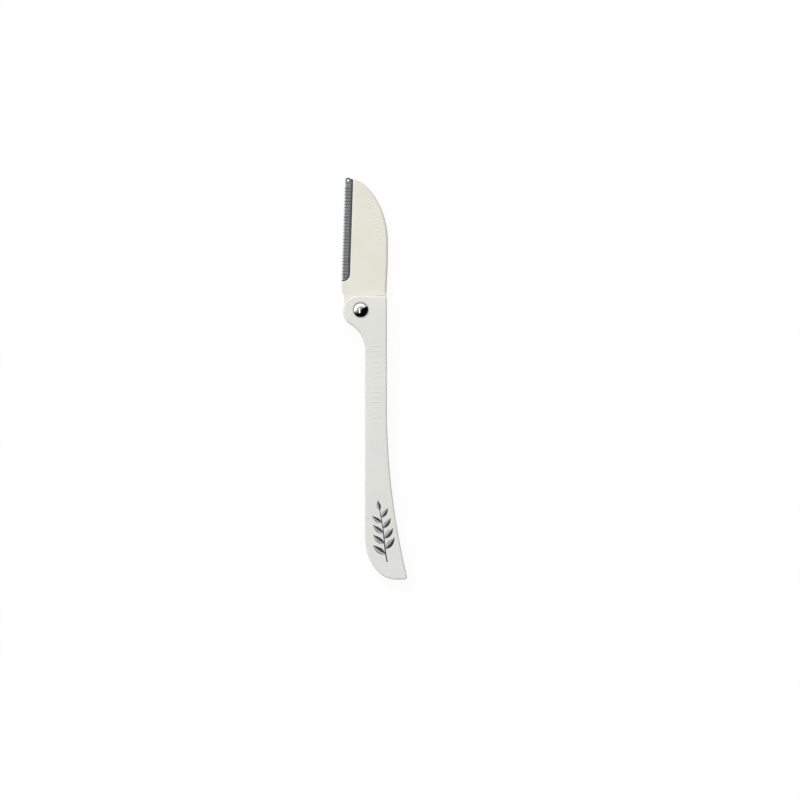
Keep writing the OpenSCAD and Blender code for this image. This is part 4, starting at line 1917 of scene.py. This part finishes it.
@dataclass(frozen=True)
class Panel:
    """Part of the surroundings as metal mirrors it: one level inside soft-edged planes."""

    level: float
    borders: tuple[Border, ...]

    def over(self, nodes: Nodes, way: Socket, level: object) -> Socket:
        """Lays the panel over what metal mirrors so far, by the product of its borders' shares.

        Args:
            nodes: The world's nodes.
            way: The direction that is mirrored.
            level: The level so far.

        Returns:
            The level with the panel.
        """
        share = nodes.math("MULTIPLY", 1.0, *(border.share(nodes, way) for border in self.borders))
        return nodes.blend(share, level, self.level)


@dataclass(frozen=True)
class Studio:
    """White sweep, a soft lamp, the surroundings that metal mirrors, and the camera above."""

    fill: float = 0.42
    mirrored_dark: float = 0.0012
    paper: float = 0.45
    floor_glow: float = 1.07
    floor_glow_share: float = 0.88
    shadow_out: tuple[float, float] = (0.12, 0.6)
    floor_half: float = 6.0
    floor_low: float = 0.02
    lens: float = 100.0
    sensor: float = 36.0
    clip: tuple[float, float] = (0.01, 50.0)
    camera_at: tuple[float, float, float] = (0.00971, -0.00808, 0.8331)
    key: Lamp = Lamp("key_softbox", 125, 45, 2.4, (2.0, 1.4), 6.1)
    panels: tuple[Panel, ...] = (
        # Grey on the left, which fades out below the middle.
        Panel(0.42, (Border((-1.0, 0.0, 0.0), -0.07, -0.01), Border((0.0, 1.0, 0.0), -0.64, -0.12))),
        # Grey above a slanting line through the middle.
        Panel(0.42, (Border((-0.407, 0.914, 0.0), 0.01, 0.09),)),
        # Bright arc at the upper left.
        Panel(1.6, (Border((-0.158, 0.311, -0.937), -0.645, -0.605), Border((-0.08, 0.0, 0.997), 0.49, 0.54),
                    Border((-0.454, 0.891, 0.0), 0.1, 0.2))),
        # Bright upright streak just left of the middle.
        Panel(1.6, (Border((1.0, 0.08, 0.0), -0.29, -0.23), Border((-1.0, 0.0, 0.0), 0.07, 0.12),
                    Border((0.0, -1.0, 0.0), -0.26, -0.2), Border((0.0, 1.0, 0.0), -0.6, -0.5))),
        # White all round from the horizon down.
        Panel(1.0, (Border((0.0, 0.0, -1.0), -0.09, -0.02),)),
    )

    def build_world(self) -> None:
        """Builds the surroundings: white to the camera, even to diffuse light, panels on dark in mirrors."""
        world = bpy.data.worlds.new("studio")
        world.use_nodes = True
        world.node_tree.nodes.clear()
        nodes = Nodes(world.node_tree)
        path = nodes.add("ShaderNodeLightPath").outputs
        way = nodes.add("ShaderNodeTexCoord").outputs["Generated"]
        mirrored: object = self.mirrored_dark
        for panel in self.panels:
            mirrored = panel.over(nodes, way, mirrored)
        seen = nodes.math("ADD", path["Is Camera Ray"], path["Is Transmission Ray"], clamp=True)
        level = nodes.blend(path["Is Glossy Ray"], self.fill, mirrored)
        strength = nodes.blend(seen, level, 1.0)
        back = nodes.add("ShaderNodeBackground", {"Color": WHITE, "Strength": strength})
        nodes.add("ShaderNodeOutputWorld", {"Surface": back.outputs[0]})
        bpy.context.scene.world = world

    def build_floor(self) -> None:
        """Builds the white floor, which keeps a faint shadow and is open from below."""
        half, low = self.floor_half, -self.floor_low * MM
        mesh = bpy.data.meshes.new("floor")
        corners = np.array([[-1, -1], [1, -1], [1, 1], [-1, 1]]) * half
        mesh.from_pydata(np.hstack([corners, np.full((4, 1), low)]).tolist(), [], [[0, 1, 2, 3]])
        floor = bpy.data.objects.new("floor", mesh)
        bpy.context.scene.collection.objects.link(floor)
        material, nodes = new_material("white_sweep")
        path = nodes.add("ShaderNodeLightPath").outputs
        rays = [path[name] for name in ("Is Camera Ray", "Is Glossy Ray", "Is Transmission Ray")]
        seen = nodes.math("ADD", *rays, clamp=True)
        distance = nodes.vector("LENGTH", nodes.point())
        share = nodes.remap(distance, *self.shadow_out, self.floor_glow_share, 1.0)
        paper = nodes.add("ShaderNodeBsdfDiffuse", {"Color": (self.paper, self.paper, self.paper, 1)})
        glow = nodes.add("ShaderNodeEmission", {"Color": WHITE, "Strength": self.floor_glow})
        faint = nodes.add("ShaderNodeMixShader", {0: share, 1: paper.outputs[0], 2: glow.outputs[0]})
        lit = nodes.add("ShaderNodeMixShader", {0: seen, 1: paper.outputs[0], 2: faint.outputs[0]})
        behind = nodes.add("ShaderNodeNewGeometry").outputs["Backfacing"]
        clear = nodes.add("ShaderNodeBsdfTransparent")
        top = nodes.add("ShaderNodeMixShader", {0: behind, 1: lit.outputs[0], 2: clear.outputs[0]})
        nodes.add("ShaderNodeOutputMaterial", {"Surface": top.outputs[0]})
        mesh.materials.append(material)
        floor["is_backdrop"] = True

    def build_camera(self) -> None:
        """Builds the camera straight above the razor."""
        data = bpy.data.cameras.new("camera")
        data.lens, data.sensor_width = self.lens, self.sensor
        data.clip_start, data.clip_end = self.clip
        camera = bpy.data.objects.new("camera", data)
        camera.location = self.camera_at
        bpy.context.scene.collection.objects.link(camera)
        bpy.context.scene.camera = camera

    def build(self) -> None:
        """Builds the whole studio."""
        bpy.context.scene.view_settings.view_transform = "Standard"
        self.build_world()
        self.build_floor()
        self.key.build()
        self.build_camera()


HANDLE_PLASTIC = PlasticFinish("white_plastic", (0.768, 0.775, 0.734), (0.712, 0.717, 0.67), 0.3)
CARRIER_PLASTIC = PlasticFinish("ivory_plastic", (0.785, 0.777, 0.688), (0.745, 0.72, 0.61), 0.3)
WASHER_PLASTIC = PlasticFinish("washer_plastic", (0.8, 0.8, 0.78), (0.68, 0.68, 0.64), 0.55, peel=0.8)
BLADE_STEEL = MetalFinish(
    "ground_steel", (0.42, 0.45, 0.455), (0.31, 0.33, 0.34), 0.32, Grain.ALONG,
    bands=(ToneOrHighlightBand((0.28, 0.3, 0.302), 0.85, 0.95), ToneOrHighlightBand((0.85, 0.87, 0.88), 0.05, 0.68)),
)
GUARD_STEEL = MetalFinish(
    "etched_steel", (0.138, 0.15, 0.146), (0.085, 0.094, 0.092), 0.42, Grain.ALONG, lines=0.7,
    # Over the dark steel, the first band lightens the comb and leaves the solid border darker. The second is
    # a painted highlight on the fold at the nose, where it would catch the light.
    bands=(ToneOrHighlightBand((0.24, 0.256, 0.254), 1.95, 2.8), ToneOrHighlightBand((0.82, 0.84, 0.85), -0.22, 0.7),
           # Painted highlight round the crimp on the lug.
           ToneOrHighlightBand((0.5, 0.52, 0.52), 0.28, 0.44, (1.05, 37.8))),
)
CHROME = MetalFinish(
    "chrome", (0.82, 0.83, 0.84), (0.7, 0.7, 0.7), 0.05, Grain.TURNED, lines=0.06, stains=0.08,
)
SOCKET_STEEL = MetalFinish(
    "turned_steel", (0.6, 0.6, 0.6), (0.42, 0.42, 0.41), 0.28, Grain.TURNED, lines=0.6,
)
FOIL = FoilFinish(
    "silver_foil", (0.78, 0.8, 0.81), (0.2, 0.2, 0.21), 0.4, Grain.ALONG, lines=0.3, stains=0.5, metallic=0.5,
)


class Razor:
    """The whole razor: builds its handle side and its head side and dresses the kept nodes."""

    def __init__(self, packed: dict) -> None:
        """Reads the frame and builds the shared skins.

        Args:
            packed: The frame, as loaded.
        """
        self.nodes = packed["nodes"]
        self.place = Placement.from_joint(packed["joints"][0])
        self.levels = Levels.from_frame()
        self.edge = EdgeFrame()
        self.sizes = BladeSizes()
        self.rivet = Rivet(self.place, self.levels)
        self.skin = moulded_skin()
        self.metal = worked_metal()

    def row_point(self, x: float, y: float, z: float) -> Vector:
        """Gives a place about the rivet in the frame's metres."""
        return Vector(self.place.metres(np.array([x, y, z])).tolist())

    def build_handle_side(self) -> None:
        """Builds the handle, the rivet, the washers and the foil sprig."""
        handle = Handle(self.place, self.levels, self.rivet)
        body = handle.build()
        dress(body, HANDLE_PLASTIC.material(self.skin))
        fit(body, "handle", "handle")
        axis = self.row_point(0.0, 0.0, 0.0)
        stud = self.rivet.build_stud()
        dress(stud, CHROME.material(self.metal, axis))
        fit(stud, "handle", "rivet_stud")
        socket = self.rivet.build_socket()
        dress(socket, SOCKET_STEEL.material(self.metal, axis))
        fit(socket, "handle", "rivet_socket")
        washer = WASHER_PLASTIC.material(self.skin)
        for node in ("front_washer", "rear_washer"):
            dress(self.nodes[node], washer)
        sprig = Sprig(self.place, self.levels, handle).build()
        dress(sprig, FOIL.material(self.metal, axis))
        fit(sprig, "handle", "foil_sprig")

    def build_head_side(self) -> None:
        """Builds the blade carrier and the comb guard, and dresses the blade."""
        origin = self.row_point(-self.edge.edge_x, self.edge.edge_y, self.levels.middle)
        carrier = Carrier(self.place, self.levels, self.edge, self.sizes, self.rivet).build()
        dress(carrier, CARRIER_PLASTIC.material(self.skin))
        fit(carrier, "head", "blade_carrier")
        guard = CombGuard(self.place, self.levels, self.edge, self.sizes).build()
        dress(guard, GUARD_STEEL.material(self.metal, origin, self.edge.tilt))
        fit(guard, "head", "comb_guard")
        dress(self.nodes["blade"], BLADE_STEEL.material(self.metal, origin, self.edge.tilt))


def corners(bounds: tuple[Vector, Vector]) -> list[list[float]]:
    """Gives a box's two corners as plain lists."""
    return [[float(value) for value in corner] for corner in bounds]


def main() -> None:
    """Builds the studio and the razor."""
    logging.basicConfig(level=logging.INFO, format="%(message)s")
    sizes = {"cad": corners(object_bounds())}
    Studio().build()
    razor = Razor(frame)
    razor.build_handle_side()
    razor.build_head_side()
    sizes["visual"] = corners(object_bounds())


if __name__ == "__main__":
    main()
